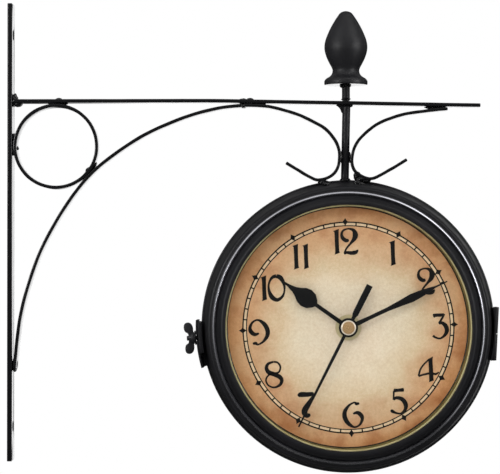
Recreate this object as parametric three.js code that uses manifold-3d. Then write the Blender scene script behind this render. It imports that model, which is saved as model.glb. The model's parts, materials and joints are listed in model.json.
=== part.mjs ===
// Double sided station clock hung under a scrolled flat-bar wall bracket.
//
// Millimetres. +X runs from the wall towards the clock, +Z is up, and the front dial faces -Y.
// The origin is on the back face of the wall bar, midway between its two screw holes.
//
// The front half of the case is welded to the bracket. The rear half is a door: a butt hinge on the
// right carries it, and a forked strap under a wing nut on the left holds it shut.
// Each half of the clock is built once, in its own frame: x to the right and y up as its reader sees
// them, and z outwards from the seam between the halves.

import * as THREE from 'three';
import { mergeVertices } from 'three/addons/utils/BufferGeometryUtils.js';
import Module from 'manifold-3d';

const wasm = await Module();
wasm.setup();

// ---------------------------------------------------------------- driving dimensions

const gap = 0.3; // running or resting gap between neighbouring pieces
const sides = { case: 40, turned: 24, small: 16 }; // facets round the case, turnings and small rods

// Bracket
const wallBar = { top: 145.5, bottom: -147.6, width: 14, thickness: 3, holeZ: 125.5, holeRadius: 3 };
const stripDepth = 12; // how far every other flat strip reaches along Y
const arm = { z: 82.85, thickness: 2.3, bendX: 133, endX: 302, endZ: 79.6 };
const scrollRing = { x: 30.9, z: 53.8, radius: 27.3, thickness: 2.1 };
const braceThickness = 2.1;
const scrollThickness = 2;
const post = { radius: 2.55, topX: 216.8, topZ: 79.6, bottomX: 215.8, bottomZ: 32.6 };
const stub = { x: 216.5, bottomZ: 82.9, topZ: 106 };
const finial = { bottomZ: 93, flangeRadius: 13.85, neckRadius: 8.55, budRadius: 13.75, height: 47.4 };
const finialBoreDepth = 13.6;

// Clock case
const clock = { x: 217.5, z: -61.25 };
const rimRadius = 93.4; // the rolled rim at the seam, the widest part of the case
const wallRadiusAtSeam = 92.2;
const shoulderRadius = 88;
const wallThickness = 1.4;
const beadRadius = 84.7;
const apertureRadius = 76.9;
const seatRadius = 74;
const lens = { radius: 79.5, back: 36, front: 38 };
const dial = { radius: 79.3, back: 21, front: 22 };
const dialRingFoot = 75.6;

// Movement, in the half's own frame
const movement = { halfWidth: 28, bottom: -31, top: 25, back: 3.2, front: 17.8, wall: 1.3 };
const battery = { radius: 7.1, length: 49.5, y: -21.8, z: 9.6 };
const stem = { radius: 3.9, bore: 2.85, top: 26 };
const hourTube = { radius: 2.5, bore: 2, top: 27.3 };
const minuteTube = { radius: 1.7, bore: 0.8, top: 29 };
const secondPinRadius = 0.5;
const knobY = 12.3;

// Hands: lengths from the pivot, and the time they show, in degrees clockwise from the top
const hands = { hourZ: 26.5, minuteZ: 28, secondZ: 29.7, thickness: 0.5 };
const shownTime = { hour: -54.8, minute: 64.8, second: 206.7 };

// Hinge on the right and latch on the left, as angles around the case from its right-hand side
const hinge = { angle: -2.85, axisRadius: 93.9, knuckleRadius: 1.9, pinRadius: 0.9, length: 34 };
const latch = { angle: 184.3, stud: 1.5, studY: -4, lugInner: 93.75, strapInner: 95.4, plate: 1.4 };

// ---------------------------------------------------------------- finishes

const blackEnamel = { color: 0x232327, roughness: 0.42, metalness: 0.1 };
const satinBlack = { color: 0x1c1c1e, roughness: 0.6, metalness: 0 };
const glass = { color: 0xeef4f4, roughness: 0.05, metalness: 0, transparent: true, opacity: 0.2 };
const oliveGold = { color: 0x8f8a5c, roughness: 0.35, metalness: 0.6 };
const agedPaper = { color: 0xd6bf97, roughness: 0.8, metalness: 0 };
const brass = { color: 0xc2a36a, roughness: 0.3, metalness: 1 };
const platedSteel = { color: 0x9a9a98, roughness: 0.35, metalness: 0.9 };
const blackPlastic = { color: 0x18181a, roughness: 0.5, metalness: 0 };
const whitePlastic = { color: 0xe6e4dc, roughness: 0.5, metalness: 0 };
const rubber = { color: 0x141414, roughness: 0.9, metalness: 0 };
const copper = { color: 0xa8552a, roughness: 0.35, metalness: 0.9 };
const boardGreen = { color: 0x2c5a3a, roughness: 0.5, metalness: 0 };
const batterySleeve = { color: 0x3b4a59, roughness: 0.4, metalness: 0.2 };

// ---------------------------------------------------------------- building helpers

const radians = THREE.MathUtils.degToRad;
const toPoints = (pairs) => pairs.map(([a, b]) => new THREE.Vector2(a, b));

/** A named mesh in its own material. */
function piece(name, geometry, finish) {
  const mesh = new THREE.Mesh(geometry, new THREE.MeshStandardMaterial(finish));
  mesh.name = name;
  return mesh;
}

/** A geometry as a solid that can be joined and cut. */
function solidOf(geometry) {
  const bare = geometry.clone();
  bare.deleteAttribute('normal');
  bare.deleteAttribute('uv');
  const merged = mergeVertices(bare, 1e-4);
  const vertProperties = merged.attributes.position.array;
  const triVerts = new Uint32Array(merged.index.array);
  return new wasm.Manifold(new wasm.Mesh({ numProp: 3, vertProperties, triVerts }));
}

/** A solid back as a geometry. */
function geometryOf(solid) {
  const { vertProperties, triVerts } = solid.getMesh();
  const geometry = new THREE.BufferGeometry();
  geometry.setAttribute('position', new THREE.BufferAttribute(vertProperties, 3));
  geometry.setIndex(new THREE.BufferAttribute(triVerts, 1));
  return geometry;
}

/** The first geometry joined with `added` ones, then cut by `removed` ones. */
function combine(base, added = [], removed = []) {
  let solid = solidOf(base);
  for (const geometry of added) solid = solid.add(solidOf(geometry));
  for (const geometry of removed) solid = solid.subtract(solidOf(geometry));
  return geometryOf(solid);
}

/** A profile of (radius, height) pairs turned about the local z axis. */
function turned(profile, segments) {
  const geometry = new THREE.LatheGeometry(toPoints(profile), segments);
  geometry.rotateX(Math.PI / 2);
  return geometry;
}

/** A turned ring whose cross-section is the closed loop of (radius, height) pairs, anticlockwise. */
function turnedRing(loop, segments) {
  return turned([...loop, loop[0]], segments);
}

/** A rod along z from `low` to `high`, with a bore where one is given. */
function rod(radius, low, high, segments, bore = 0) {
  if (bore > 0) {
    return turnedRing([[bore, low], [radius, low], [radius, high], [bore, high]], segments);
  }
  return turned([[0, low], [radius, low], [radius, high], [0, high]], segments);
}

/** A flat outline in x and y, given thickness from `low` to `high` along z. */
function plate(shape, low, high, curveSegments = 12) {
  const options = { depth: high - low, bevelEnabled: false, curveSegments };
  const geometry = new THREE.ExtrudeGeometry(shape, options);
  geometry.translate(0, 0, low);
  return geometry;
}

/** A flat outline in X and Z, given depth along Y between `near` and `far`. */
function uprightPlate(shape, near, far, curveSegments = 12) {
  const geometry = plate(shape, -far, -near, curveSegments);
  geometry.rotateX(Math.PI / 2);
  return geometry;
}

/** A box between two corners. */
function boxBetween([x0, y0, z0], [x1, y1, z1]) {
  const geometry = new THREE.BoxGeometry(x1 - x0, y1 - y0, z1 - z0);
  geometry.translate((x0 + x1) / 2, (y0 + y1) / 2, (z0 + z1) / 2);
  return geometry;
}

/** A rectangle with round corners. */
function roundedRectangle(x0, y0, x1, y1, corner) {
  const shape = new THREE.Shape();
  shape.moveTo(x0 + corner, y0);
  shape.lineTo(x1 - corner, y0);
  shape.absarc(x1 - corner, y0 + corner, corner, -Math.PI / 2, 0);
  shape.lineTo(x1, y1 - corner);
  shape.absarc(x1 - corner, y1 - corner, corner, 0, Math.PI / 2);
  shape.lineTo(x0 + corner, y1);
  shape.absarc(x0 + corner, y1 - corner, corner, Math.PI / 2, Math.PI);
  shape.lineTo(x0, y0 + corner);
  shape.absarc(x0 + corner, y0 + corner, corner, Math.PI, Math.PI * 1.5);
  return shape;
}

/** A circle outline, with a round hole where one is given. */
function discShape(radius, holeRadius = 0, x = 0, y = 0) {
  const shape = new THREE.Shape();
  shape.absarc(x, y, radius, 0, Math.PI * 2);
  if (holeRadius > 0) {
    const hole = new THREE.Path();
    hole.absarc(x, y, holeRadius, 0, Math.PI * 2, true);
    shape.holes.push(hole);
  }
  return shape;
}

/** Part of a ring, between two angles in degrees. */
function sectorShape(inner, outer, fromAngle, toAngle) {
  const shape = new THREE.Shape();
  shape.absarc(0, 0, outer, radians(fromAngle), radians(toAngle), false);
  shape.absarc(0, 0, inner, radians(toAngle), radians(fromAngle), true);
  shape.closePath();
  return shape;
}

/** A flat strip on edge, bent along a smooth line through (x, z) points. */
function bentStrip(points, thickness, steps, depth = stripDepth) {
  const middle = new THREE.SplineCurve(toPoints(points));
  const upper = [];
  const lower = [];
  for (let step = 0; step <= steps; step += 1) {
    const point = middle.getPointAt(step / steps);
    const along = middle.getTangentAt(step / steps);
    const across = new THREE.Vector2(-along.y, along.x).multiplyScalar(thickness / 2);
    upper.push(point.clone().add(across));
    lower.push(point.clone().sub(across));
  }
  const outline = new THREE.Shape([...upper, ...lower.reverse()]);
  return uprightPlate(outline, -depth / 2, depth / 2);
}

// ---------------------------------------------------------------- wall bracket

function makeWallBar() {
  const end = wallBar.width / 2;
  const outline = new THREE.Shape();
  outline.absarc(0, wallBar.top - end, end, 0, Math.PI);
  outline.absarc(0, wallBar.bottom + end, end, Math.PI, Math.PI * 2);
  outline.closePath();
  for (const z of [wallBar.holeZ, -wallBar.holeZ]) {
    const hole = new THREE.Path();
    hole.absarc(0, z, wallBar.holeRadius, 0, Math.PI * 2, true);
    outline.holes.push(hole);
  }
  const bar = plate(outline, 0, wallBar.thickness, 7);
  bar.rotateX(Math.PI / 2);
  bar.rotateZ(Math.PI / 2);
  return piece('wall_bar', bar, blackEnamel);
}

function makeArmBar() {
  const startX = wallBar.thickness + gap;
  const half = arm.thickness / 2;
  const outline = new THREE.Shape(toPoints([
    [startX, arm.z - half],
    [arm.bendX, arm.z - half],
    [arm.endX, arm.endZ - half],
    [arm.endX, arm.endZ + half],
    [arm.bendX, arm.z + half],
    [startX, arm.z + half],
  ]));
  return piece('arm_bar', uprightPlate(outline, -stripDepth / 2, stripDepth / 2), blackEnamel);
}

function makeScrollRing() {
  const outline = discShape(scrollRing.radius, scrollRing.radius - scrollRing.thickness);
  const ring = uprightPlate(outline, -stripDepth / 2, stripDepth / 2, sides.case / 2);
  const mesh = piece('scroll_ring', ring, blackEnamel);
  mesh.position.set(scrollRing.x, 0, scrollRing.z);
  return mesh;
}

/** The long brace: near vertical where it leaves the wall bar, near level where it meets the arm. */
function makeBraceArc() {
  const line = [
    [4.5, -88], [7.9, -57.3], [14.3, -31.7], [24.6, -6.1], [42.2, 22.7],
    [59.1, 41.4], [84.7, 59.3], [110.3, 71.1], [132.7, 77.7], [150, 79.8],
  ];
  return piece('brace_arc', bentStrip(line, braceThickness, 32), blackEnamel);
}

/** From the end of the brace, down beside the post, and curled up to the left. */
function makeLeftScroll() {
  const line = [
    [151.4, 79.85], [164.7, 79.3], [176, 77], [187.1, 73.4], [196.7, 68.7],
    [203.8, 64.3], [209.3, 57.9], [212, 51.4], [212.2, 44.4], [210.5, 38.6],
    [206.1, 34.2], [199, 32.1], [193.8, 33.8], [186.8, 37.8], [178.6, 42.9],
  ];
  return piece('left_scroll', bentStrip(line, scrollThickness, 36), blackEnamel);
}

/** From under the free end of the arm, down beside the post, and curled up to the right. */
function makeRightScroll() {
  const line = [
    [280.8, 77.4], [271, 76.5], [257.5, 74.7], [247.9, 72.4], [238.3, 68.7],
    [231.5, 64.3], [225, 57.9], [221.4, 51.4], [220.3, 43.4], [222.5, 37.4],
    [228.3, 33.6], [234.4, 33.3], [244.9, 38.9], [254.9, 44.9],
  ];
  return piece('right_scroll', bentStrip(line, scrollThickness, 36), blackEnamel);
}

/** The round rod between the arm and the case, leaning slightly. */
function makeHangerPost() {
  const lean = Math.atan2(post.topX - post.bottomX, post.topZ - post.bottomZ);
  const length = Math.hypot(post.topX - post.bottomX, post.topZ - post.bottomZ);
  const mesh = piece('hanger_post', rod(post.radius, 0, length, sides.small), blackEnamel);
  mesh.position.set(post.bottomX, 0, post.bottomZ);
  mesh.rotation.y = lean;
  return mesh;
}

function makeFinialPost() {
  const mesh = piece('finial_post', rod(post.radius, stub.bottomZ, stub.topZ, sides.small), blackEnamel);
  mesh.position.set(stub.x, 0, 0);
  return mesh;
}

/** A turned bud on a flange, bored from below for its post. */
function makeFinial() {
  const { flangeRadius, neckRadius, budRadius, height } = finial;
  const bore = post.radius + gap;
  const bud = new THREE.SplineCurve(toPoints([
    [flangeRadius - 0.2, 3], [12.6, 4.1], [10.4, 5.5], [9.1, 7], [neckRadius, 9.2], [9.1, 11.2],
    [10.6, 14], [12.3, 17.6], [13.5, 21.5], [budRadius, 24.5], [13.4, 27.5], [12.2, 31.3],
    [10, 36.2], [7.5, 40.7], [5.2, 44.2], [3.6, 46.2], [1.8, 47.1],
  ]));
  const profile = [
    [0, finialBoreDepth],
    [bore, finialBoreDepth],
    [bore, 0],
    [flangeRadius - 0.5, 0],
    [flangeRadius, 0.6],
    [flangeRadius, 2.4],
    ...bud.getSpacedPoints(14).map((point) => [point.x, point.y]),
    [0, height],
  ];
  const mesh = piece('finial', turned(profile, sides.turned), satinBlack);
  mesh.position.set(stub.x, 0, finial.bottomZ);
  return mesh;
}

// ---------------------------------------------------------------- case halves

/** Pressed steel shell: rolled rim at the seam, tapering wall, shoulder, and a seat for the dial. */
function shellGeometry() {
  const inner = wallRadiusAtSeam - wallThickness;
  const loop = [
    [inner, gap],
    [rimRadius - 0.3, gap],
    [rimRadius, 0.8],
    [rimRadius, 1.7],
    [wallRadiusAtSeam, 2.3],
    [90.9, 12],
    [88.9, 26.5],
    [shoulderRadius, 29.2],
    [86.4, 30.6],
    [83.4, 30.6],
    [83.4, 29.3],
    [86.6, 29.1],
    [88.1, dial.back - gap],
    [seatRadius, dial.back - gap],
    [seatRadius, dial.back - gap - wallThickness],
    [88.2, dial.back - gap - wallThickness],
  ];
  return turnedRing(loop, sides.case);
}

/** Pressed ring that holds the glass: a bead between two grooves, then a lip that climbs to the glass. */
function bezelGeometry() {
  const beadCentre = 33.1;
  const beadSize = 1.15;
  const bead = [];
  for (let angle = -20; angle <= 200; angle += 44) {
    const turn = radians(angle);
    bead.push([beadRadius + beadSize * Math.cos(turn), beadCentre + beadSize * Math.sin(turn)]);
  }
  const loop = [
    [81, 30.9],
    [86.1, 30.9],
    [86.1, 32],
    ...bead,
    [82.8, 33],
    [80.9, 38.4],
    [79, 40.8],
    [77.7, 41.2],
    [apertureRadius, 40.3],
    [apertureRadius, lens.front + gap],
    [lens.radius + gap, lens.front + gap],
  ];
  return turnedRing(loop, sides.case);
}

function lensGeometry() {
  const { radius, back, front } = lens;
  return turned([[0, back], [radius, back], [radius, front], [0, front]], sides.case);
}

/** The inner ring that stands on the dial and carries the glass. */
function dialRingGeometry() {
  const foot = dial.front + gap;
  const head = lens.back - gap;
  const loop = [
    [dialRingFoot, foot],
    [dialRingFoot + 2.6, foot],
    [dialRingFoot + 3, head],
    [apertureRadius, head],
  ];
  return turnedRing(loop, sides.case);
}

function dialGeometry() {
  return rod(dial.radius, dial.back, dial.front, sides.case, stem.radius + gap);
}

// ---------------------------------------------------------------- movement

/** The plastic tub: battery bay open at the back, works chamber open at the front. */
function movementCaseGeometry() {
  const { halfWidth, bottom, top, back, front, wall } = movement;
  const body = plate(roundedRectangle(-halfWidth, bottom, halfWidth, top, 3), back, front, 3);
  const bayHalf = battery.length / 2 + 1.6;
  const bayReach = battery.radius + 0.25;
  const bay = boxBetween(
    [-bayHalf, battery.y - bayReach, back - 1],
    [bayHalf, battery.y + bayReach, battery.z + bayReach],
  );
  const works = boxBetween(
    [-halfWidth + wall, battery.y + bayReach + wall, back + wall],
    [halfWidth - wall, top - wall, front + 1],
  );
  const knobHole = rod(1.6, back - 1, back + wall + 1, sides.small);
  knobHole.translate(0, knobY, 0);
  const hangerSlot = boxBetween([-5, top - wall - 1, 12], [5, top + 1, 14.5]);
  return combine(body, [], [bay, works, knobHole, hangerSlot]);
}

/** The front plate of the movement, with its hollow threaded stem. */
function movementCoverGeometry() {
  const { halfWidth, bottom, top, front } = movement;
  const low = front + gap;
  const high = low + 1.3;
  const base = plate(roundedRectangle(-halfWidth, bottom, halfWidth, top, 3), low, high, 3);
  const sleeve = [[0, low]];
  sleeve.push([stem.radius, low]);
  const firstThread = high + 1.5;
  const pitch = 1.25;
  const threadDepth = 0.35;
  for (let z = firstThread; z < stem.top - pitch; z += pitch) {
    sleeve.push([stem.radius, z], [stem.radius - threadDepth, z + pitch / 2]);
  }
  sleeve.push([stem.radius, stem.top - 0.4], [stem.radius - 0.4, stem.top], [0, stem.top]);
  const bore = rod(stem.bore, low - 1, stem.top + 1, sides.small);
  return combine(base, [turned(sleeve, sides.turned)], [bore]);
}

function gasketGeometry() {
  const low = movement.front + gap + 1.3 + gap;
  return rod(8, low, dial.back - gap, sides.turned, stem.radius + gap);
}

/** Flanged hexagon nut on the stem. */
function dialNutGeometry() {
  const low = dial.front + gap;
  const flange = rod(8.1, low, low + 0.5, sides.turned);
  const hexagon = rod(6, low, low + 2.2, 6);
  const bore = rod(stem.radius + gap, low - 1, low + 4, sides.turned);
  return combine(flange, [hexagon], [bore]);
}

function batteryGeometry() {
  const { radius, length } = battery;
  const half = length / 2;
  const profile = [
    [0, -half],
    [radius, -half],
    [radius, half - 1.8],
    [radius - 0.7, half - 1.2],
    [2.7, half - 1.2],
    [2.7, half],
    [0, half],
  ];
  const cell = turned(profile, sides.turned);
  cell.rotateY(Math.PI / 2);
  cell.translate(0, battery.y, battery.z);
  return cell;
}

/** Bent spring strip at the battery's negative end. */
function batteryContactGeometry() {
  const x = -battery.length / 2 - 1.4;
  const outline = new THREE.Shape(toPoints([
    [x, -5], [x + 0.35, -5], [x + 1, 0], [x + 0.35, 5], [x, 5], [x + 0.6, 0],
  ]));
  const strip = plate(outline, battery.z - 3, battery.z + 3);
  strip.translate(0, battery.y, 0);
  return strip;
}

/** Wheel on a hollow arbor: (wheel radius, wheel bottom and top), (tube radius, tube top, bore). */
function wheelOnArbor(wheel, tube) {
  const profile = [
    [tube.bore, wheel.low],
    [wheel.radius, wheel.low],
    [wheel.radius, wheel.high],
    [tube.radius, wheel.high],
    [tube.radius, tube.top],
    [tube.bore, tube.top],
  ];
  return turnedRing(profile, sides.small);
}

function secondArborGeometry() {
  const wheel = { radius: 8, low: 5, high: 6 };
  return turned([
    [0, wheel.low],
    [wheel.radius, wheel.low],
    [wheel.radius, wheel.high],
    [secondPinRadius, wheel.high],
    [secondPinRadius, hands.secondZ + hands.thickness],
    [0, hands.secondZ + hands.thickness],
  ], sides.small);
}

/** Knurled knob behind the movement, and its pinion beside the minute wheel. */
function setKnobGeometry() {
  const shape = new THREE.Shape();
  const ridges = 18;
  for (let step = 0; step < ridges * 2; step += 1) {
    const radius = step % 2 === 0 ? 6 : 5.6;
    const turn = (step * Math.PI) / ridges;
    const x = radius * Math.cos(turn);
    const y = radius * Math.sin(turn);
    if (step === 0) shape.moveTo(x, y);
    else shape.lineTo(x, y);
  }
  shape.closePath();
  const knob = plate(shape, 0.7, movement.back - gap);
  const shaft = rod(1.2, 2, 9.2, 12);
  const pinion = rod(3.9, 8, 9.2, sides.small);
  return combine(knob, [shaft, pinion]);
}

function circuitBoardGeometry() {
  const board = boxBetween([14, -8, 15.6], [25.5, 20, 16.6]);
  const crystal = boxBetween([16, 10, 14], [18.5, 17, 15.7]);
  const chip = rod(2.6, 14.4, 15.7, sides.small);
  chip.translate(20, 0, 0);
  return combine(board, [crystal, chip]);
}

/** Bobbin of fine wire on its core. */
function driveCoilGeometry() {
  const bobbin = turnedRing([
    [1, -10], [4.6, -10], [4.6, -9], [4, -9], [4, 9], [4.6, 9], [4.6, 10], [1, 10],
  ], sides.small);
  const core = rod(1.5, -11.5, 11.5, 12);
  const coil = combine(bobbin, [core]);
  coil.rotateX(Math.PI / 2);
  coil.translate(-19.5, 6, 10);
  return coil;
}

// ---------------------------------------------------------------- hands

/** A hand's outline: its right-hand edge as (half width, distance) pairs, mirrored, round a hub. */
function handGeometry(edge, hubRadius, hole, low) {
  const right = new THREE.SplineCurve(toPoints(edge)).getPoints(edge.length * 2);
  const left = right.map((point) => new THREE.Vector2(-point.x, point.y)).reverse();
  const blade = plate(new THREE.Shape([...right, ...left]), low, low + hands.thickness);
  const hub = rod(hubRadius, low, low + hands.thickness, sides.turned);
  const bore = rod(hole, low - 1, low + 2, sides.small);
  return combine(hub, [blade], [bore]);
}

function hourHandGeometry() {
  const edge = [
    [1.35, 3], [1.25, 14], [1.2, 24.6], [2.7, 25.6], [5.2, 28.4], [6, 32.2], [5.2, 35.6],
    [3.2, 38.6], [1.9, 41.4], [1, 45.4], [0.45, 49.6],
  ];
  return handGeometry(edge, 6, hourTube.radius + gap, hands.hourZ);
}

function minuteHandGeometry() {
  const edge = [
    [1.45, 3], [1.2, 14], [1.25, 27], [1.9, 36], [2.6, 43.5], [2.2, 49.5], [1.3, 56],
    [0.6, 60], [0.4, 67.9],
  ];
  return handGeometry(edge, 6, minuteTube.radius + gap, hands.minuteZ);
}

/** Needle one way, a widening counterweight the other. */
function secondHandGeometry() {
  const tail = [
    [1, -4], [1.2, -7.5], [1.9, -9.5], [2, -20], [2, -29.6],
  ];
  const needle = [
    [0.35, 69.2], [0.55, 45], [0.85, 20], [1, 4],
  ];
  return handGeometry([...needle, ...tail], 4.6, secondPinRadius + gap, hands.secondZ);
}

/** Domed brass cap over the centre. */
function handCapGeometry() {
  const low = hands.secondZ + hands.thickness + gap;
  return turned([
    [0, low], [5, low], [4.8, low + 0.7], [3.2, low + 1.2], [0, low + 1.45],
  ], sides.turned);
}

// ---------------------------------------------------------------- one half of the clock

/** Every piece of one half, in that half's own frame. */
function makeHalf(side, shell) {
  const half = new THREE.Group();
  const add = (name, geometry, finish) => {
    const mesh = piece(`${side}_${name}`, geometry, finish);
    half.add(mesh);
    return mesh;
  };

  add('shell', shell, blackEnamel);
  add('bezel', bezelGeometry(), blackEnamel);
  add('lens', lensGeometry(), glass);
  add('dial_ring', dialRingGeometry(), oliveGold);
  add('dial', dialGeometry(), agedPaper);

  add('movement_case', movementCaseGeometry(), blackPlastic);
  add('movement_cover', movementCoverGeometry(), blackPlastic);
  add('gasket', gasketGeometry(), rubber);
  add('dial_nut', dialNutGeometry(), brass);
  add('battery', batteryGeometry(), batterySleeve);
  add('battery_contact', batteryContactGeometry(), platedSteel);
  add('circuit_board', circuitBoardGeometry(), boardGreen);
  add('drive_coil', driveCoilGeometry(), copper);

  const hourWheel = { radius: 9, low: 14, high: 15.2 };
  const minuteWheel = { radius: 8, low: 8, high: 9.2 };
  add('hour_wheel', wheelOnArbor(hourWheel, hourTube), whitePlastic);
  add('minute_arbor', wheelOnArbor(minuteWheel, minuteTube), whitePlastic);
  add('second_arbor', secondArborGeometry(), platedSteel);
  const knob = add('set_knob', setKnobGeometry(), whitePlastic);
  knob.position.y = knobY;

  const hourHand = add('hour_hand', hourHandGeometry(), satinBlack);
  const minuteHand = add('minute_hand', minuteHandGeometry(), satinBlack);
  const secondHand = add('second_hand', secondHandGeometry(), satinBlack);
  hourHand.rotation.z = -radians(shownTime.hour);
  minuteHand.rotation.z = -radians(shownTime.minute);
  secondHand.rotation.z = -radians(shownTime.second);
  add('hand_cap', handCapGeometry(), brass);
  return half;
}

// ---------------------------------------------------------------- hinge and latch

/** A flat cut that the knuckles lie in, in the hinge's frame: x outwards, z along the pin. */
function hingeNotch() {
  const reach = hinge.length / 2 + 0.6;
  return boxBetween([hinge.axisRadius - hinge.knuckleRadius - gap, -2.4, -reach], [96, 2.4, reach]);
}

/** Cuts the hinge's notch out of a shell given in its half's frame. */
function notchedShell(facesFront) {
  const notch = hingeNotch();
  notch.rotateY(-radians(hinge.angle));
  notch.rotateX(-Math.PI / 2);
  if (!facesFront) notch.rotateY(Math.PI);
  return combine(shellGeometry(), [], [notch]);
}

/** A leaf curved round the wall on one side of the seam, with its knuckle on the hinge's axis. */
function hingeLeafGeometry(facesFront) {
  const { axisRadius, knuckleRadius, pinRadius, length } = hinge;
  const direction = facesFront ? -1 : 1;
  const leafInner = wallRadiusAtSeam + gap;
  const leafOuter = leafInner + 1;
  const span = 10.4;
  const edges = [direction * 3, direction * 13].sort((a, b) => a - b);
  const leaf = uprightPlate(sectorShape(leafInner, leafOuter, -span, span), edges[0], edges[1], 4);
  const low = facesFront ? 0.2 : -length / 2;
  const high = facesFront ? length / 2 : -0.2;
  const knuckle = rod(knuckleRadius, low, high, sides.turned);
  knuckle.translate(axisRadius, 0, 0);
  const tabEdges = [0, direction * 4].sort((a, b) => a - b);
  const tab = boxBetween([leafInner + 0.1, tabEdges[0], low], [leafOuter + 0.3, tabEdges[1], high]);
  const bore = rod(pinRadius + gap, low - 1, high + 1, sides.small);
  bore.translate(axisRadius, 0, 0);
  return combine(leaf, [tab, knuckle], [bore]);
}

function makeHinge() {
  const group = new THREE.Group();
  group.position.set(clock.x, 0, clock.z);
  group.rotation.y = -radians(hinge.angle);
  group.add(piece('hinge_front_leaf', hingeLeafGeometry(true), blackEnamel));
  group.add(piece('hinge_rear_leaf', hingeLeafGeometry(false), blackEnamel));
  const pin = rod(hinge.pinRadius, -hinge.length / 2 - 0.2, hinge.length / 2 + 0.2, sides.small);
  pin.translate(hinge.axisRadius, 0, 0);
  group.add(piece('hinge_pin', pin, platedSteel));
  return group;
}

/** Plate on the front half that carries the stud, in the latch's frame: x outwards, y to the back. */
function latchLugGeometry() {
  const { lugInner, plate: thickness } = latch;
  const outer = lugInner + thickness;
  const web = uprightPlate(sectorShape(lugInner, outer, -6, 6), -13, -0.4, 4);
  const foot = uprightPlate(sectorShape(wallRadiusAtSeam + gap, lugInner + 0.2, -6, 6), -13, -8, 4);
  return combine(web, [foot]);
}

/** Forked strap on the door: it slides off the stud towards the back as the door opens. */
function latchStrapGeometry() {
  const { strapInner, plate: thickness, stud, studY } = latch;
  const outer = strapInner + thickness;
  const span = [-6.7, 11.6];
  const web = uprightPlate(sectorShape(strapInner, outer, span[0], span[1]), -9, 14, 5);
  const foot = uprightPlate(sectorShape(wallRadiusAtSeam + gap, strapInner + 0.2, -6, 8), 8, 14, 5);
  const slotHalf = stud + 0.5;
  const slot = boxBetween([strapInner - 1, -12, -slotHalf], [outer + 1, studY + slotHalf, slotHalf]);
  return combine(web, [foot], [slot]);
}

/** Wing nut: a tapered hub with two broad round ears along the strap. */
function wingNutGeometry() {
  const hub = turned([[0, 0], [3.8, 0], [3.8, 0.6], [3, 3.6], [0, 3.6]], sides.turned);
  hub.rotateY(Math.PI / 2);
  const ears = [1, -1].map((side) => {
    const outline = new THREE.Shape();
    outline.moveTo(0.4, side * 1);
    outline.lineTo(0.4, side * 4.4);
    outline.quadraticCurveTo(0.2, side * 9.2, 3, side * 10);
    outline.quadraticCurveTo(6.2, side * 10.4, 6.3, side * 7);
    outline.quadraticCurveTo(6.2, side * 3.9, 4.4, side * 3.4);
    outline.quadraticCurveTo(3.5, side * 2.8, 3.4, side * 1);
    return uprightPlate(outline, -1.1, 1.1, 5);
  });
  const bore = rod(latch.stud + gap, -1, 8, sides.small);
  bore.rotateY(Math.PI / 2);
  return combine(hub, ears, [bore]);
}

function makeLatch() {
  const group = new THREE.Group();
  group.position.set(clock.x, 0, clock.z);
  group.rotation.y = -radians(latch.angle);
  const { studY } = latch;
  const studFoot = latch.lugInner + latch.plate + gap;
  const washerInner = latch.strapInner + latch.plate + gap;
  const nutInner = washerInner + 0.7 + gap;

  const lug = piece('latch_lug', latchLugGeometry(), blackEnamel);
  const strap = piece('latch_strap', latchStrapGeometry(), blackEnamel);

  const studRod = rod(latch.stud, studFoot, nutInner + 4.8, sides.small);
  studRod.rotateY(Math.PI / 2);
  const stud = piece('latch_stud', studRod, blackEnamel);
  stud.position.y = studY;

  const washerRing = rod(4.6, washerInner, washerInner + 0.7, sides.turned, latch.stud + gap);
  washerRing.rotateY(Math.PI / 2);
  const washer = piece('latch_washer', washerRing, blackEnamel);
  washer.position.y = studY;

  const nut = piece('wing_nut', wingNutGeometry(), blackEnamel);
  nut.position.set(nutInner, studY, 0);

  group.add(lug, strap, stud, washer, nut);
  return group;
}

// ---------------------------------------------------------------- the whole clock

const stationClock = new THREE.Group();
stationClock.add(
  makeWallBar(),
  makeArmBar(),
  makeScrollRing(),
  makeBraceArc(),
  makeLeftScroll(),
  makeRightScroll(),
  makeHangerPost(),
  makeFinialPost(),
  makeFinial(),
  makeHinge(),
  makeLatch(),
);

const frontHalf = makeHalf('front', notchedShell(true));
frontHalf.rotation.x = Math.PI / 2;
frontHalf.position.set(clock.x, 0, clock.z);
stationClock.add(frontHalf);

const rearHalf = makeHalf('rear', notchedShell(false));
rearHalf.rotation.x = Math.PI / 2;
const rearTurn = new THREE.Group();
rearTurn.rotation.z = Math.PI;
rearTurn.position.set(clock.x, 0, clock.z);
rearTurn.add(rearHalf);
stationClock.add(rearTurn);

export default stationClock;
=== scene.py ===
# %% [markdown]
# # A double sided station clock under a scrolled wall bracket
#
# The clock hangs from a bracket bent out of flat bar. Its case is two pressed halves with a glazed
# dial on each side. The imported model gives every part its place; this file gives each one the
# surface that a person would see. Lengths are written in millimetres, and one factor turns them to
# the metres that Blender works in.

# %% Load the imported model
import json

import bmesh
import bpy
import numpy as np
from mathutils import Matrix, Vector

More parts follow.
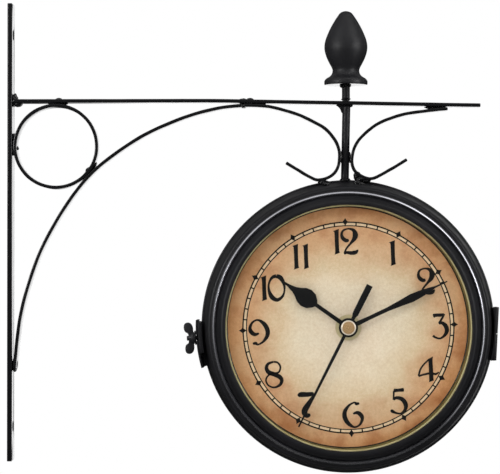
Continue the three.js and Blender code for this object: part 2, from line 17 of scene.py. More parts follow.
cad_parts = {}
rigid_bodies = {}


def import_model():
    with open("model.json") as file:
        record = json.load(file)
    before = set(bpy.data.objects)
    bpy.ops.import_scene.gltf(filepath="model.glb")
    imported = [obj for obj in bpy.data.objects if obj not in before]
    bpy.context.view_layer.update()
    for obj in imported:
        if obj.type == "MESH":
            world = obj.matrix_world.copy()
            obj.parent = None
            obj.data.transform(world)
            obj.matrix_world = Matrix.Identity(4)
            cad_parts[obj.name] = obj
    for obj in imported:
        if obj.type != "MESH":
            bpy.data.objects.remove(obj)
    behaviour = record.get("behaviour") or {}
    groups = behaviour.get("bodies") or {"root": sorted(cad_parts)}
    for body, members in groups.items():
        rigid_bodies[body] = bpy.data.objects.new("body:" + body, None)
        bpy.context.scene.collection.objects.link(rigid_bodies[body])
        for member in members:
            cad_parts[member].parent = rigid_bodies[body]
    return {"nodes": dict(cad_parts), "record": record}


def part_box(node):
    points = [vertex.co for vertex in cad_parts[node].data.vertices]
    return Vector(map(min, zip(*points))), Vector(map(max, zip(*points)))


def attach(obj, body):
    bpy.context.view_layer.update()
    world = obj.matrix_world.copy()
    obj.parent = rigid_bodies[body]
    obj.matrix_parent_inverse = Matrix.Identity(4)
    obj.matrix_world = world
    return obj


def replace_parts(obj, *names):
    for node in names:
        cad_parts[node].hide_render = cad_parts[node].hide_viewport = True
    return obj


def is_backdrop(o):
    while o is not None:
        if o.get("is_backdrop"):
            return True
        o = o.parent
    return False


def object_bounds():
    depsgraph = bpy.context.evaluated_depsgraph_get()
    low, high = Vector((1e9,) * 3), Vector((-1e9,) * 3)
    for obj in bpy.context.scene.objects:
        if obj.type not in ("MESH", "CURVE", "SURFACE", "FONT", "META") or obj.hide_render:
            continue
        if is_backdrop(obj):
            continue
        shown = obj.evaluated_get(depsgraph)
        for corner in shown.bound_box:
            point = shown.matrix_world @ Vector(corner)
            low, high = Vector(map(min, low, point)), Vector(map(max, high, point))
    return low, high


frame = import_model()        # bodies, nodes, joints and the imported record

packed_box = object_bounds()
BODY_OF = {node: body for body, nodes in frame["record"]["behaviour"]["bodies"].items() for node in nodes}

# %% [markdown]
# ## Sizes
#
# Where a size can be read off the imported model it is, so that a change there is followed here. The
# clock's middle is the middle of its glass, and the scroll ring and the bud are measured the same
# way. What the solids don't show, such as a rounded edge, is given here in millimetres.

# %% Main sizes
MM = 0.001


def box_mm(node):
    """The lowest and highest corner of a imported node, in millimetres."""
    low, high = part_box(node)
    return np.array(low) / MM, np.array(high) / MM


def middle_mm(node):
    """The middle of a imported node's box, in millimetres."""
    low, high = box_mm(node)
    return (low + high) / 2


CLOCK_X, _, CLOCK_Z = middle_mm("front_lens")
RING_X, _, RING_Z = middle_mm("scroll_ring")
RING_RADIUS = (box_mm("scroll_ring")[1] - box_mm("scroll_ring")[0])[0] / 2
BUD_X = middle_mm("finial")[0]
BUD_BOTTOM = box_mm("finial")[0][2]
STRIP_DEPTH = 12
EDGE_ROUNDING = 0.55
print(f"clock centre ({CLOCK_X:.1f}, {CLOCK_Z:.1f}), ring radius {RING_RADIUS:.1f}")

# %% [markdown]
# ## Surfaces from numbers
#
# Most pieces of the clock are one of three simple forms: a profile turned on a lathe, a bar section
# carried along a bent line, or a flat outline cut from sheet. Each is worked out as whole arrays of
# points on a grid. A modelling tool could push vertices about instead, but a formula keeps every
# radius exact and can be read again.

# %% Grids and meshes


def grid_quads(rows, columns, wrap_rows=False, wrap_columns=True):
    """Corner numbers of the quads between neighbouring points of a grid; wrapping joins last to first."""
    r, c = np.meshgrid(
        np.arange(rows if wrap_rows else rows - 1),
        np.arange(columns if wrap_columns else columns - 1),
        indexing="ij",
    )
    r_next, c_next = (r + 1) % rows, (c + 1) % columns
    corners = [r * columns + c, r_next * columns + c, r_next * columns + c_next, r * columns + c_next]
    return np.stack(corners, axis=-1).reshape(-1, 4).tolist()


def joined(parts):
    """Several (points, faces) pairs as one: each part's corner numbers move up by the points before it."""
    points, faces, start = [], [], 0
    for part_points, part_faces in parts:
        points.append(np.asarray(part_points, float))
        faces += [[corner + start for corner in face] for face in part_faces]
        start += len(part_points)
    return np.concatenate(points), faces


def mesh_piece(name, surface, material, crisp_angle=32):
    """A (points, faces) surface in millimetres as a mesh object in metres.

    Points that coincide are merged, which closes seams and poles; faces are turned outwards, and
    edges sharper than crisp_angle stay crisp.
    """
    points, faces = surface
    mesh = bpy.data.meshes.new(name)
    mesh.from_pydata((points * MM).tolist(), [], faces)
    shape = bmesh.new()
    shape.from_mesh(mesh)
    bmesh.ops.remove_doubles(shape, verts=shape.verts, dist=2e-7)
    bmesh.ops.dissolve_degenerate(shape, edges=shape.edges, dist=1e-8)
    bmesh.ops.recalc_face_normals(shape, faces=shape.faces)
    shape.to_mesh(mesh)
    shape.free()
    mesh.shade_smooth()
    mesh.set_sharp_from_angle(angle=np.radians(crisp_angle))
    mesh.materials.append(material)
    piece = bpy.data.objects.new(name, mesh)
    bpy.context.scene.collection.objects.link(piece)
    return piece


def stand_for(piece, node):
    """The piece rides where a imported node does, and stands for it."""
    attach(piece, BODY_OF[node])
    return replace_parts(piece, node)


print(len(grid_quads(3, 8)), "quads between three rings of eight points")

# %% Rounded outlines


def filleted(corners, steps=5, closed=True):
    """Corners as (x, y, fillet): straight lines between them, and a quadratic curve round each corner.

    The curve starts one fillet before the corner and ends one after it, with the corner as its
    control point; a fillet never takes more than 0.48 of the shorter side beside it.
    """
    corners = np.array([(*corner, 0)[:3] for corner in corners], float)
    spots, outline = corners[:, :2], []
    share = np.linspace(0, 1, steps)[:, None]
    for number, (spot, fillet) in enumerate(zip(spots, corners[:, 2])):
        is_end = not closed and number in (0, len(spots) - 1)
        if fillet <= 0 or is_end:
            outline.append(spot[None])
            continue
        back, ahead = spots[number - 1] - spot, spots[(number + 1) % len(spots)] - spot
        reach = min(fillet, 0.48 * np.linalg.norm(back), 0.48 * np.linalg.norm(ahead))
        start = spot + back / np.linalg.norm(back) * reach
        end = spot + ahead / np.linalg.norm(ahead) * reach
        outline.append((1 - share) ** 2 * start + 2 * share * (1 - share) * spot + share**2 * end)
    return np.concatenate(outline)


def smooth_line(points, count):
    """Evenly spaced points on the Catmull-Rom curve through the given ones.

    Between two points p1 and p2 it is the cubic that leaves along half of p2 - p0 and arrives along
    half of p3 - p1.
    """
    points = np.array(points, float)
    last = len(points) - 1
    t = np.linspace(0, last, 40 * last + 1)
    index = np.minimum(t.astype(int), last - 1)
    w = (t - index)[:, None]
    p0, p1 = points[np.maximum(index - 1, 0)], points[index]
    p2, p3 = points[index + 1], points[np.minimum(index + 2, last)]
    leave, arrive = (p2 - p0) / 2, (p3 - p1) / 2
    dense = (
        (2 * p1 - 2 * p2 + leave + arrive) * w**3
        + (3 * p2 - 3 * p1 - 2 * leave - arrive) * w**2
        + leave * w
        + p1
    )
    run = np.concatenate([[0], np.cumsum(np.linalg.norm(np.diff(dense[:, :2], axis=0), axis=1))])
    even = np.linspace(0, run[-1], count)
    return np.stack([np.interp(even, run, column) for column in dense.T], axis=-1)


print(len(filleted([(0, 0, 1), (4, 0, 1), (4, 3, 1)])), "points round a rounded triangle")

# %% Turning


def even_turn(columns):
    """Evenly spaced angles round a full turn."""
    return np.linspace(0, 2 * np.pi, columns, endpoint=False)


def turned(profile, turn=192):
    """(radius, height) pairs turned round the z axis: each point is (r cos t, r sin t, h).

    turn is a number of columns, or their angles. A profile that starts on the axis is a solid of
    turning; any other one is a closed ring section.
    """
    radius, height = np.array(profile, float).T
    turn = even_turn(turn) if isinstance(turn, int) else turn
    columns = len(turn)
    flat = np.ones(columns)
    points = [np.outer(radius, np.cos(turn)), np.outer(radius, np.sin(turn)), np.outer(height, flat)]
    is_ring = bool(radius[0] > 0)
    faces = grid_quads(len(radius), columns, wrap_rows=is_ring)
    return np.stack(points, axis=-1).reshape(-1, 3), faces


print(len(turned([(0, 0), (2, 0), (0, 3)], 12)[1]), "faces on a cone of twelve columns")

# %% Sweeping a bar


def section(thickness, depth):
    """A bar's cross-section: a rectangle with rounded corners, as (across, deep) pairs."""
    x, y = thickness / 2, depth / 2
    return filleted([(a, b, EDGE_ROUNDING) for a, b in ((-x, -y), (x, -y), (x, y), (-x, y))])


def swept_bar(line, thickness, depth=STRIP_DEPTH, unevenness=0.05, closed=False):
    """A bar section carried along a line in the x-z plane, standing square to the line, deep along y.

    A little unevenness, three waves of unlike length, keeps a hand-bent bar from looking drawn with
    a ruler. The two ends close in three short steps, like an end that was sawn and filed.
    """
    line = np.array(line, float)
    if closed:
        along = np.roll(line, -1, axis=0) - np.roll(line, 1, axis=0)
    else:
        along = np.gradient(line, axis=0)
    along /= np.linalg.norm(along, axis=1)[:, None]
    across = np.stack([-along[:, 1], along[:, 0]], axis=-1)
    run = np.concatenate([[0], np.cumsum(np.linalg.norm(np.diff(line, axis=0), axis=1))])
    fade = np.ones_like(run) if closed else np.clip(np.minimum(run, run[-1] - run) / 6, 0, 1)
    turns = 2 * np.pi * run / run[-1]
    wave = np.sin(3 * turns) + 0.6 * np.sin(7 * turns + 1.3) + 0.4 * np.sin(17 * turns + 0.4)
    line = line + across * (unevenness * fade * wave)[:, None]
    swell = 1 + 0.4 * unevenness * fade * np.sin(11 * turns + 2.1)
    shrink = np.zeros(len(line))
    if not closed:
        steps = ((0.0, 0.0), (0.16, 0.07), (0.32, 0.22), (0.4, 0.45))
        ends = [(0, -1, steps[::-1]), (-1, 1, steps)]
        pieces = {0: [], -1: []}
        for end, sign, plan in ends:
            pieces[end] = [(line[end] + along[end] * sign * step, across[end], drop) for step, drop in plan]
        before, after = pieces[0][:-1], pieces[-1][1:]
        line = np.concatenate([[p for p, _, _ in before], line, [p for p, _, _ in after]])
        across = np.concatenate([[a for _, a, _ in before], across, [a for _, a, _ in after]])
        shrink = np.concatenate([[d for _, _, d in before], shrink, [d for _, _, d in after]])
        swell = np.pad(swell, (len(before), len(after)), mode="edge")
    corners = section(thickness, depth)
    side = corners[None, :, 0] * swell[:, None]
    deep = np.repeat(corners[None, :, 1], len(line), axis=0)
    side = np.sign(side) * np.maximum(np.abs(side) - shrink[:, None], 0.05)
    deep = np.sign(deep) * np.maximum(np.abs(deep) - shrink[:, None], 0.05)
    x = line[:, None, 0] + across[:, None, 0] * side
    z = line[:, None, 1] + across[:, None, 1] * side
    points = np.stack([x, deep, z], axis=-1).reshape(-1, 3)
    faces = grid_quads(len(line), len(corners), wrap_rows=closed)
    if not closed:
        first = list(range(len(corners)))
        faces += [first[::-1], [corner + len(corners) * (len(line) - 1) for corner in first]]
    return points, faces


print(len(section(2, STRIP_DEPTH)), "points round a strip's section")

# %% Cutting from sheet


def cut_plate(outlines, low, high, rounding):
    """Closed outlines in x and y, cut out of sheet from low to high along z, with rounded edges.

    The first outline is the edge and the others are holes. It is a flat curve, filled and bevelled,
    that is made a mesh at once.
    """
    curve = bpy.data.curves.new("outline", "CURVE")
    curve.dimensions, curve.fill_mode = "2D", "BOTH"
    curve.extrude = (high - low) / 2 - rounding
    curve.bevel_depth, curve.bevel_resolution, curve.offset = rounding, 2, -rounding
    for outline in outlines:
        spline = curve.splines.new("POLY")
        spline.points.add(len(outline) - 1)
        flat = np.column_stack([outline, np.zeros(len(outline)), np.ones(len(outline))])
        spline.points.foreach_set("co", flat.ravel())
        spline.use_cyclic_u = True
    holder = bpy.data.objects.new("outline", curve)
    bpy.context.scene.collection.objects.link(holder)
    bpy.context.view_layer.update()
    filled = holder.evaluated_get(bpy.context.evaluated_depsgraph_get())
    mesh = bpy.data.meshes.new_from_object(filled)
    points = np.zeros(len(mesh.vertices) * 3)
    mesh.vertices.foreach_get("co", points)
    faces = [list(face.vertices) for face in mesh.polygons]
    bpy.data.objects.remove(holder)
    bpy.data.curves.remove(curve)
    bpy.data.meshes.remove(mesh)
    return points.reshape(-1, 3) + (0, 0, (low + high) / 2), faces


def circle(radius, count=48, x=0.0, y=0.0):
    """A circle's outline: (x + r cos t, y + r sin t)."""
    turn = even_turn(count)
    return np.column_stack([x + radius * np.cos(turn), y + radius * np.sin(turn)])


def in_half(surface, side, turn_degrees=0.0):
    """A surface from a half's own frame, x right and y up as its reader sees them and z outwards.

    The front half's z points along -Y. The rear half is the same thing turned half way round the
    upright line through the clock's middle. turn_degrees is clockwise, as its reader sees it.
    """
    points, faces = surface
    turn = np.radians(-turn_degrees)
    x = points[:, 0] * np.cos(turn) - points[:, 1] * np.sin(turn)
    y = points[:, 0] * np.sin(turn) + points[:, 1] * np.cos(turn)
    sign = 1 if side == "front" else -1
    world = np.column_stack([CLOCK_X + sign * x, -sign * points[:, 2], CLOCK_Z + y])
    return world, faces


print(len(circle(1)), "points round a hole")

# %% [markdown]
# ## Finishes
#
# Every finish starts from what the real surface is and how it was made. Patterns are sized from a
# real length: a noise texture's scale is one over the size of its blotches, in metres. One function
# turns a colour written as sRGB hex to the linear numbers that a shader takes, and one adds a node
# with its settings and links.

# %% Colour and node helpers


def linear(code):
    """An sRGB hex colour as linear numbers: c / 12.92 when dark, else ((c + 0.055) / 1.055) ^ 2.4."""
    channels = np.array([int(code[i : i + 2], 16) for i in (0, 2, 4)]) / 255
    curved = ((channels + 0.055) / 1.055) ** 2.4
    return (*np.where(channels <= 0.04045, channels / 12.92, curved).tolist(), 1.0)


def add_node(tree, kind, values=None, links=None, **settings):
    """One shader node: settings are its properties, values its free sockets, links the joined ones."""
    node = tree.nodes.new(kind)
    for name, value in settings.items():
        setattr(node, name, value)
    for socket, value in (values or {}).items():
        node.inputs[socket].default_value = value
    for socket, output in (links or {}).items():
        tree.links.new(output, node.inputs[socket])
    return node


def new_finish(name, **values):
    """A material with one Principled shader, whose plain values are set on its own sockets."""
    finish = bpy.data.materials.new(name)
    finish.use_nodes = True
    shader = finish.node_tree.nodes["Principled BSDF"]
    for socket, value in values.items():
        shader.inputs[socket.replace("_", " ")].default_value = value
    return finish, finish.node_tree, shader


print("mid grey is", round(linear("808080")[0], 3), "as a linear number")

# %% Patterns


def ramp_stops(node, stops):
    """Gives a colour ramp its stops, as (place, hex colour) pairs."""
    elements = node.color_ramp.elements
    while len(elements) < len(stops):
        elements.new(0.5)
    for element, (place, code) in zip(elements, stops):
        element.position, element.color = place, linear(code)


def blotches(tree, size_mm, detail=3.0, roughness=0.55, source=None):
    """Noise whose blotches are about size_mm across, on Object coordinates unless a source is given."""
    if source is None:
        source = add_node(tree, "ShaderNodeTexCoord").outputs["Object"]
    values = {"Scale": 1 / (size_mm * MM), "Detail": detail, "Roughness": roughness}
    return add_node(tree, "ShaderNodeTexNoise", values, {"Vector": source}).outputs["Fac"]


def between(tree, factor, low, high):
    """A number that runs from low to high as the factor runs from 0.35 to 0.65."""
    values = {"From Min": 0.35, "From Max": 0.65, "To Min": low, "To Max": high}
    return add_node(tree, "ShaderNodeMapRange", values, {"Value": factor}).outputs["Result"]


def two_tones(tree, factor, dark, light):
    """A colour between two hex colours, by a factor."""
    node = add_node(tree, "ShaderNodeValToRGB", links={"Fac": factor})
    ramp_stops(node, [(0.35, dark), (0.65, light)])
    return node.outputs["Color"]


def relief(tree, shader, height, depth_mm, strength=1.0, under=None):
    """Bump from a height between 0 and 1 that stands depth_mm tall."""
    links = {"Height": height}
    if under is not None:
        links["Normal"] = under
    bump = add_node(tree, "ShaderNodeBump", {"Distance": depth_mm * MM, "Strength": strength}, links)
    tree.links.new(bump.outputs["Normal"], shader.inputs["Normal"])
    return bump.outputs["Normal"]


print("a blotch of 30 mm has a noise scale of", round(1 / (30 * MM), 1))

# %% [markdown]
# ## Black enamel on steel
#
# The bracket and the case are mild steel, welded, then sprayed with semi-gloss black enamel. Sprayed
# enamel dries to a faint orange peel, with waves near a millimetre, and it gathers a little dust and
# handling that makes it duller in patches. Its colour is a near black with a trace of blue.

# %% Enamels


def sprayed_enamel(name, dark, light, dullness, peel_mm, peel_depth_mm, **values):
    """Semi-gloss enamel: two near blacks in 30 mm patches, orange peel, and uneven dullness."""
    finish, tree, shader = new_finish(name, IOR=1.45, **values)
    patches = blotches(tree, 30, detail=4)
    tree.links.new(two_tones(tree, patches, dark, light), shader.inputs["Base Color"])
    handling = blotches(tree, 9, detail=2.5, roughness=0.5)
    tree.links.new(between(tree, handling, *dullness), shader.inputs["Roughness"])
    peel = relief(tree, shader, blotches(tree, peel_mm, detail=1.5), peel_depth_mm)
    relief(tree, shader, blotches(tree, peel_mm / 4, detail=2), peel_depth_mm / 6, under=peel)
    return finish


ENAMEL = sprayed_enamel(
    "sprayed_black_enamel", "131316", "1a1a1e", dullness=(0.4, 0.5), peel_mm=1.1, peel_depth_mm=0.006
)
BAR_ENAMEL = sprayed_enamel(
    "black_enamel_on_drawn_bar",
    "060608",
    "0c0c0f",
    dullness=(0.16, 0.24),
    peel_mm=5,
    peel_depth_mm=0.0015,
    Coat_Weight=0.8,
    Coat_Roughness=0.06,
)
SATIN_PAINT = sprayed_enamel(
    "satin_black_paint",
    "131317",
    "1b1b20",
    dullness=(0.46, 0.56),
    peel_mm=0.9,
    peel_depth_mm=0.006,
    Coat_Weight=0.45,
    Coat_Roughness=0.46,
)
HAND_PAINT = sprayed_enamel(
    "black_painted_aluminium", "08080a", "0d0d10", dullness=(0.34, 0.46), peel_mm=0.6, peel_depth_mm=0.003
)
print("enamels:", ENAMEL.name, BAR_ENAMEL.name, SATIN_PAINT.name, HAND_PAINT.name)

# %% [markdown]
# ## The sepia dial
#
# The dial is a printed card meant to look old: pale parchment in the middle, tan further out, and
# brown orange by the rim, with stains and a paper grain. The stain follows the distance from the
# middle, so it is a colour ramp over that distance, pushed in and out by noise so that it is never a
# clean circle. The glossy print coat is thin, so the card is fairly matt.

# %% Distance from the middle


def distance_from_middle(tree, place, unit_mm):
    """How far a point lies from the line through both dials' middles, counted in units of unit_mm.

    The point is moved and scaled so that the middle is at zero, and its y is dropped; the distance
    is then the length sqrt(x^2 + z^2).
    """
    to_middle = {
        "Location": (-CLOCK_X / unit_mm, 0, -CLOCK_Z / unit_mm),
        "Scale": (1 / unit_mm / MM, 0, 1 / unit_mm / MM),
    }
    centred = add_node(tree, "ShaderNodeMapping", to_middle, {"Vector": place}).outputs["Vector"]
    return add_node(tree, "ShaderNodeVectorMath", links={0: centred}, operation="LENGTH").outputs["Value"]


print(f"dials are centred on ({CLOCK_X:.2f}, {CLOCK_Z:.2f})")

# %% Dial card
DIAL_RADIUS = 79.3


def aged_card():
    """Parchment: a ramp over distance from the middle, pushed about by noise, with stains and grain."""
    finish, tree, shader = new_finish("printed_parchment_card", IOR=1.45)
    place = add_node(tree, "ShaderNodeTexCoord").outputs["Object"]
    distance = distance_from_middle(tree, place, DIAL_RADIUS)
    clouds = blotches(tree, 34, detail=3, roughness=0.6, source=place)
    push = add_node(
        tree,
        "ShaderNodeMapRange",
        {"From Min": 0.3, "From Max": 0.7, "To Min": -0.075, "To Max": 0.075},
        {"Value": clouds},
    ).outputs["Result"]
    links = {0: distance, 1: push}
    pushed = add_node(tree, "ShaderNodeMath", links=links, operation="ADD").outputs["Value"]
    ramp = add_node(tree, "ShaderNodeValToRGB", links={"Fac": pushed})
    ramp_stops(
        ramp,
        [
            (0.0, "ecdcc4"),
            (0.38, "ebdbbf"),
            (0.55, "e2caa5"),
            (0.72, "dcb287"),
            (0.84, "e2b080"),
            (0.92, "dea26c"),
            (1.0, "d48f56"),
        ],
    )
    stain = blotches(tree, 17, detail=4, roughness=0.55, source=place)
    stain_strength = add_node(
        tree,
        "ShaderNodeMapRange",
        {"From Min": 0.46, "From Max": 0.68, "To Min": 0.0, "To Max": 0.62},
        {"Value": stain},
    ).outputs["Result"]
    near_rim = add_node(
        tree,
        "ShaderNodeMapRange",
        {"From Min": 0.5, "From Max": 0.92, "To Min": 0.1, "To Max": 1.0},
        {"Value": distance},
    ).outputs["Result"]
    amount = add_node(
        tree, "ShaderNodeMath", links={0: stain_strength, 1: near_rim}, operation="MULTIPLY"
    ).outputs["Value"]
    stained = add_node(
        tree,
        "ShaderNodeMixRGB",
        {"Color2": linear("aa6432")},
        {"Fac": amount, "Color1": ramp.outputs["Color"]},
    ).outputs["Color"]
    flecks = two_tones(tree, blotches(tree, 1.6, detail=4, roughness=0.7, source=place), "f3eee6", "ffffff")
    inked = add_node(
        tree,
        "ShaderNodeMixRGB",
        {"Fac": 1.0},
        {"Color1": stained, "Color2": flecks},
        blend_type="MULTIPLY",
    ).outputs["Color"]
    tree.links.new(inked, shader.inputs["Base Color"])
    tree.links.new(between(tree, blotches(tree, 6, source=place), 0.5, 0.66), shader.inputs["Roughness"])
    relief(tree, shader, blotches(tree, 0.5, detail=3, source=place), 0.01)
    return finish


CARD = aged_card()
print("card:", CARD.name)

# %% Dial inks


def printing_ink(name, dark, light, dullness):
    """Dense screen ink: slightly uneven in tone, with the card's grain showing through."""
    finish, tree, shader = new_finish(name, IOR=1.45)
    tone = two_tones(tree, blotches(tree, 2.5, detail=4), dark, light)
    tree.links.new(tone, shader.inputs["Base Color"])
    tree.links.new(between(tree, blotches(tree, 5), *dullness), shader.inputs["Roughness"])
    relief(tree, shader, blotches(tree, 0.5, detail=3), 0.006)
    return finish


BLACK_INK = printing_ink("black_dial_ink", "070605", "0e0b09", (0.5, 0.62))
CREAM_INK = printing_ink("cream_dial_ink", "e2c39a", "ebd0a8", (0.5, 0.62))
print("inks:", BLACK_INK.name, CREAM_INK.name)

# %% [markdown]
# ## Glass, olive lacquer and metals
#
# The glass is a flat pane of float glass. A pane that thin lets light straight through, so its shader
# is glass to the eye and clear to the light that falls on the dial. The ring between dial and glass
# is lacquered an olive gold. The cap over the hands is spun brass, whose fine turning marks spread
# the light into a fan. Screws, pins and springs are steel with a bright zinc plate.

# %% Glass


def float_glass():
    """Clear glass; light on its way to the dial passes as if the pane weren't there."""
    finish, tree, shader = new_finish("float_glass", IOR=1.5, Roughness=0.02, Transmission_Weight=1.0)
    smears = blotches(tree, 22, detail=4, roughness=0.6)
    tree.links.new(two_tones(tree, smears, "f6fafa", "ffffff"), shader.inputs["Base Color"])
    clear = add_node(tree, "ShaderNodeBsdfTransparent")
    rays = add_node(tree, "ShaderNodeLightPath")
    passing = rays.outputs["Is Shadow Ray"]
    for kind in ("Is Diffuse Ray", "Is Glossy Ray"):
        links = {0: passing, 1: rays.outputs[kind]}
        passing = add_node(tree, "ShaderNodeMath", links=links, operation="MAXIMUM").outputs["Value"]
    links = {0: passing, 1: shader.outputs["BSDF"], 2: clear.outputs["BSDF"]}
    mixed = add_node(tree, "ShaderNodeMixShader", links=links)
    tree.links.new(mixed.outputs["Shader"], tree.nodes["Material Output"].inputs["Surface"])
    return finish


GLASS = float_glass()
print("glass:", GLASS.name)

# %% Olive lacquer


def lacquered_ring():
    """Olive gold lacquer over aluminium, olive down the wall, with painted shade and light: the foot by
    the dial is painted near black as shade, and the lip by the glass a painted light khaki. The tone
    follows the distance from the seam, on both sides alike.
    """
    finish, tree, shader = new_finish("olive_gold_lacquer", Metallic=0.25, IOR=1.5)
    place = add_node(tree, "ShaderNodeTexCoord").outputs["Object"]
    depth = add_node(tree, "ShaderNodeSeparateXYZ", links={0: place}).outputs["Y"]
    from_seam = add_node(tree, "ShaderNodeMath", links={0: depth}, operation="ABSOLUTE").outputs["Value"]
    # Painted shade: the foot, deep under the bezel, is near black. The lip's khaki further on is painted
    # light.
    tone = two_tones(tree, blotches(tree, 18, detail=4, source=place), "1d170c", "2c2313")
    shade_to_light_bands = (
        (23.0, 24.2, "565c2c", "687038"),        # the wall starts between these two, in mm
        (34.6, 35.4, "c6bd86", "ddd5a0"),        # and the lip between these
    )
    for start_mm, end_mm, dark, light in shade_to_light_bands:
        values = {"From Min": start_mm * MM, "From Max": end_mm * MM, "To Min": 0.0, "To Max": 1.0}
        reached = add_node(tree, "ShaderNodeMapRange", values, {"Value": from_seam}).outputs["Result"]
        next_tone = two_tones(tree, blotches(tree, 14, detail=4, source=place), dark, light)
        links = {"Fac": reached, "Color1": tone, "Color2": next_tone}
        tone = add_node(tree, "ShaderNodeMixRGB", links=links).outputs["Color"]
    tree.links.new(tone, shader.inputs["Base Color"])
    tree.links.new(between(tree, blotches(tree, 5), 0.34, 0.46), shader.inputs["Roughness"])
    relief(tree, shader, blotches(tree, 0.8, detail=2), 0.004)
    return finish


OLIVE = lacquered_ring()
print("lacquer:", OLIVE.name)

# %% Metals


def spun_brass():
    """Lacquered brass with turning marks 0.25 mm apart, drawn as noise rings, and a painted highlight: a near
    white rim.
    """
    finish, tree, shader = new_finish("spun_brass", Metallic=0.4)
    place = add_node(tree, "ShaderNodeTexCoord").outputs["Object"]
    distance = distance_from_middle(tree, place, 1)
    marks = add_node(
        tree,
        "ShaderNodeTexNoise",
        {"Scale": 4.0, "Detail": 3.0, "Roughness": 0.7},
        {"W": distance},
        noise_dimensions="1D",
    ).outputs["Fac"]
    # Painted highlight: the outer rim of the cap is mixed towards near white.
    rim = add_node(
        tree,
        "ShaderNodeMapRange",
        {"From Min": 3.7, "From Max": 4.1, "To Min": 0.0, "To Max": 1.0},
        {"Value": distance},
    ).outputs["Result"]
    face_tone = two_tones(tree, marks, "a97f4c", "dcb989")
    links = {"Fac": rim, "Color1": face_tone}
    toned = add_node(tree, "ShaderNodeMixRGB", {"Color2": linear("fff3df")}, links).outputs["Color"]
    tree.links.new(toned, shader.inputs["Base Color"])
    tree.links.new(between(tree, marks, 0.22, 0.36), shader.inputs["Roughness"])
    relief(tree, shader, marks, 0.03)
    return finish


def plated_metal(name, dark, light, dullness, grain_mm):
    """Plated or bare metal with a fine grain and uneven brightness."""
    finish, tree, shader = new_finish(name, Metallic=1.0)
    tree.links.new(two_tones(tree, blotches(tree, 3, detail=4), dark, light), shader.inputs["Base Color"])
    tree.links.new(between(tree, blotches(tree, 1.5, detail=4), *dullness), shader.inputs["Roughness"])
    relief(tree, shader, blotches(tree, grain_mm, detail=2), 0.01)
    return finish


BRASS = spun_brass()
DULL_BRASS = sprayed_enamel(
    "lacquered_dull_brass",
    "c4b58a",
    "d8cba0",
    dullness=(0.34, 0.44),
    peel_mm=1.0,
    peel_depth_mm=0.003,
    Metallic=0.15,
)
ZINC = plated_metal("zinc_plated_steel", "8c8d8e", "b9bab8", (0.28, 0.42), 0.4)
RUBBED_BEAD = sprayed_enamel(
    "enamel_rubbed_thin_on_bead",
    "a8a8ae",
    "bdbdc3",
    dullness=(0.14, 0.17),
    peel_mm=6,
    peel_depth_mm=0.0003,
    Metallic=0.95,
)
COPPER = plated_metal("enamelled_copper_wire", "7e3a1a", "b0623a", (0.25, 0.4), 0.25)
print("metals:", BRASS.name, DULL_BRASS.name, ZINC.name, RUBBED_BEAD.name, COPPER.name)

# %% Plastics


def moulded_plastic(name, dark, light, dullness, grain_mm, grain_depth_mm):
    """Injection moulded plastic: an even colour that drifts slightly, over a spark-eroded grain."""
    finish, tree, shader = new_finish(name, IOR=1.5)
    tree.links.new(two_tones(tree, blotches(tree, 14), dark, light), shader.inputs["Base Color"])
    tree.links.new(between(tree, blotches(tree, 4), *dullness), shader.inputs["Roughness"])
    relief(tree, shader, blotches(tree, grain_mm, detail=2), grain_depth_mm)
    return finish


BLACK_ABS = moulded_plastic("moulded_black_abs", "131315", "1b1b1d", (0.42, 0.56), 0.5, 0.012)
WHITE_ACETAL = moulded_plastic("moulded_white_acetal", "dcd9cf", "ebe9e1", (0.36, 0.5), 0.6, 0.006)
NITRILE = moulded_plastic("nitrile_rubber", "101011", "1a1a1a", (0.7, 0.85), 0.35, 0.02)
SLEEVE = moulded_plastic("shrunk_battery_sleeve", "2f4254", "3d5266", (0.28, 0.4), 1.2, 0.004)
BOARD = moulded_plastic("solder_mask_board", "1f4a2e", "2c5f3c", (0.35, 0.5), 0.8, 0.008)
GREY_BOARD = moulded_plastic("grey_backing_board", "8d8a84", "9b9892", (0.7, 0.85), 0.7, 0.02)
print("plastics:", BLACK_ABS.name, WHITE_ACETAL.name, NITRILE.name, SLEEVE.name)
print("boards:", BOARD.name, GREY_BOARD.name)

# %% [markdown]
# ## The wall plate and the arm
#
# The plate is flat bar, drilled twice for wall screws, with its edges eased. The arm is 12 mm flat
# bar set on edge, and droops a little beyond the point where the brace meets it. Cold drawn bar has
# small rounded corners, and it is those corners that catch a line of light.

# %% Wall plate
HOLE_HEIGHT = 125.5
HOLE_RADIUS = 3
PLATE_CORNER = 1
PLATE_EDGE_ROUNDING = 0.45
plate_low, plate_high = box_mm("wall_bar")
half_width, bottom, top = plate_high[1], plate_low[2], plate_high[2]
plate_corners = [(-half_width, bottom), (half_width, bottom), (half_width, top), (-half_width, top)]
plate_outline = filleted([(*corner, PLATE_CORNER) for corner in plate_corners])
plate_holes = [circle(HOLE_RADIUS, 40, 0, height) for height in (-HOLE_HEIGHT, HOLE_HEIGHT)]
plate_points, plate_faces = cut_plate(
    [plate_outline, *plate_holes], plate_low[0], plate_high[0], PLATE_EDGE_ROUNDING
)
wall_plate = mesh_piece("wall_plate", (plate_points[:, [2, 0, 1]], plate_faces), BAR_ENAMEL)
stand_for(wall_plate, "wall_bar")
print("wall plate", np.round(plate_points.min(0), 2), np.round(plate_points.max(0), 2))

# %% Arm
arm_low, arm_high = box_mm("arm_bar")
ARM_THICKNESS = 2.3
arm_path = [
    (arm_low[0] + 0.4, 82.85),
    (40, 82.85),
    (90, 82.85),
    (133, 82.75),
    (180, 81.95),
    (240, 80.79),
    (arm_high[0] - 0.4, 79.63),
]
arm_surface = swept_bar(smooth_line(arm_path, 120), ARM_THICKNESS, unevenness=0.02)
arm_strip = mesh_piece("arm_strip", arm_surface, BAR_ENAMEL)
stand_for(arm_strip, "arm_bar")
print("arm strip", len(arm_strip.data.polygons), "faces")

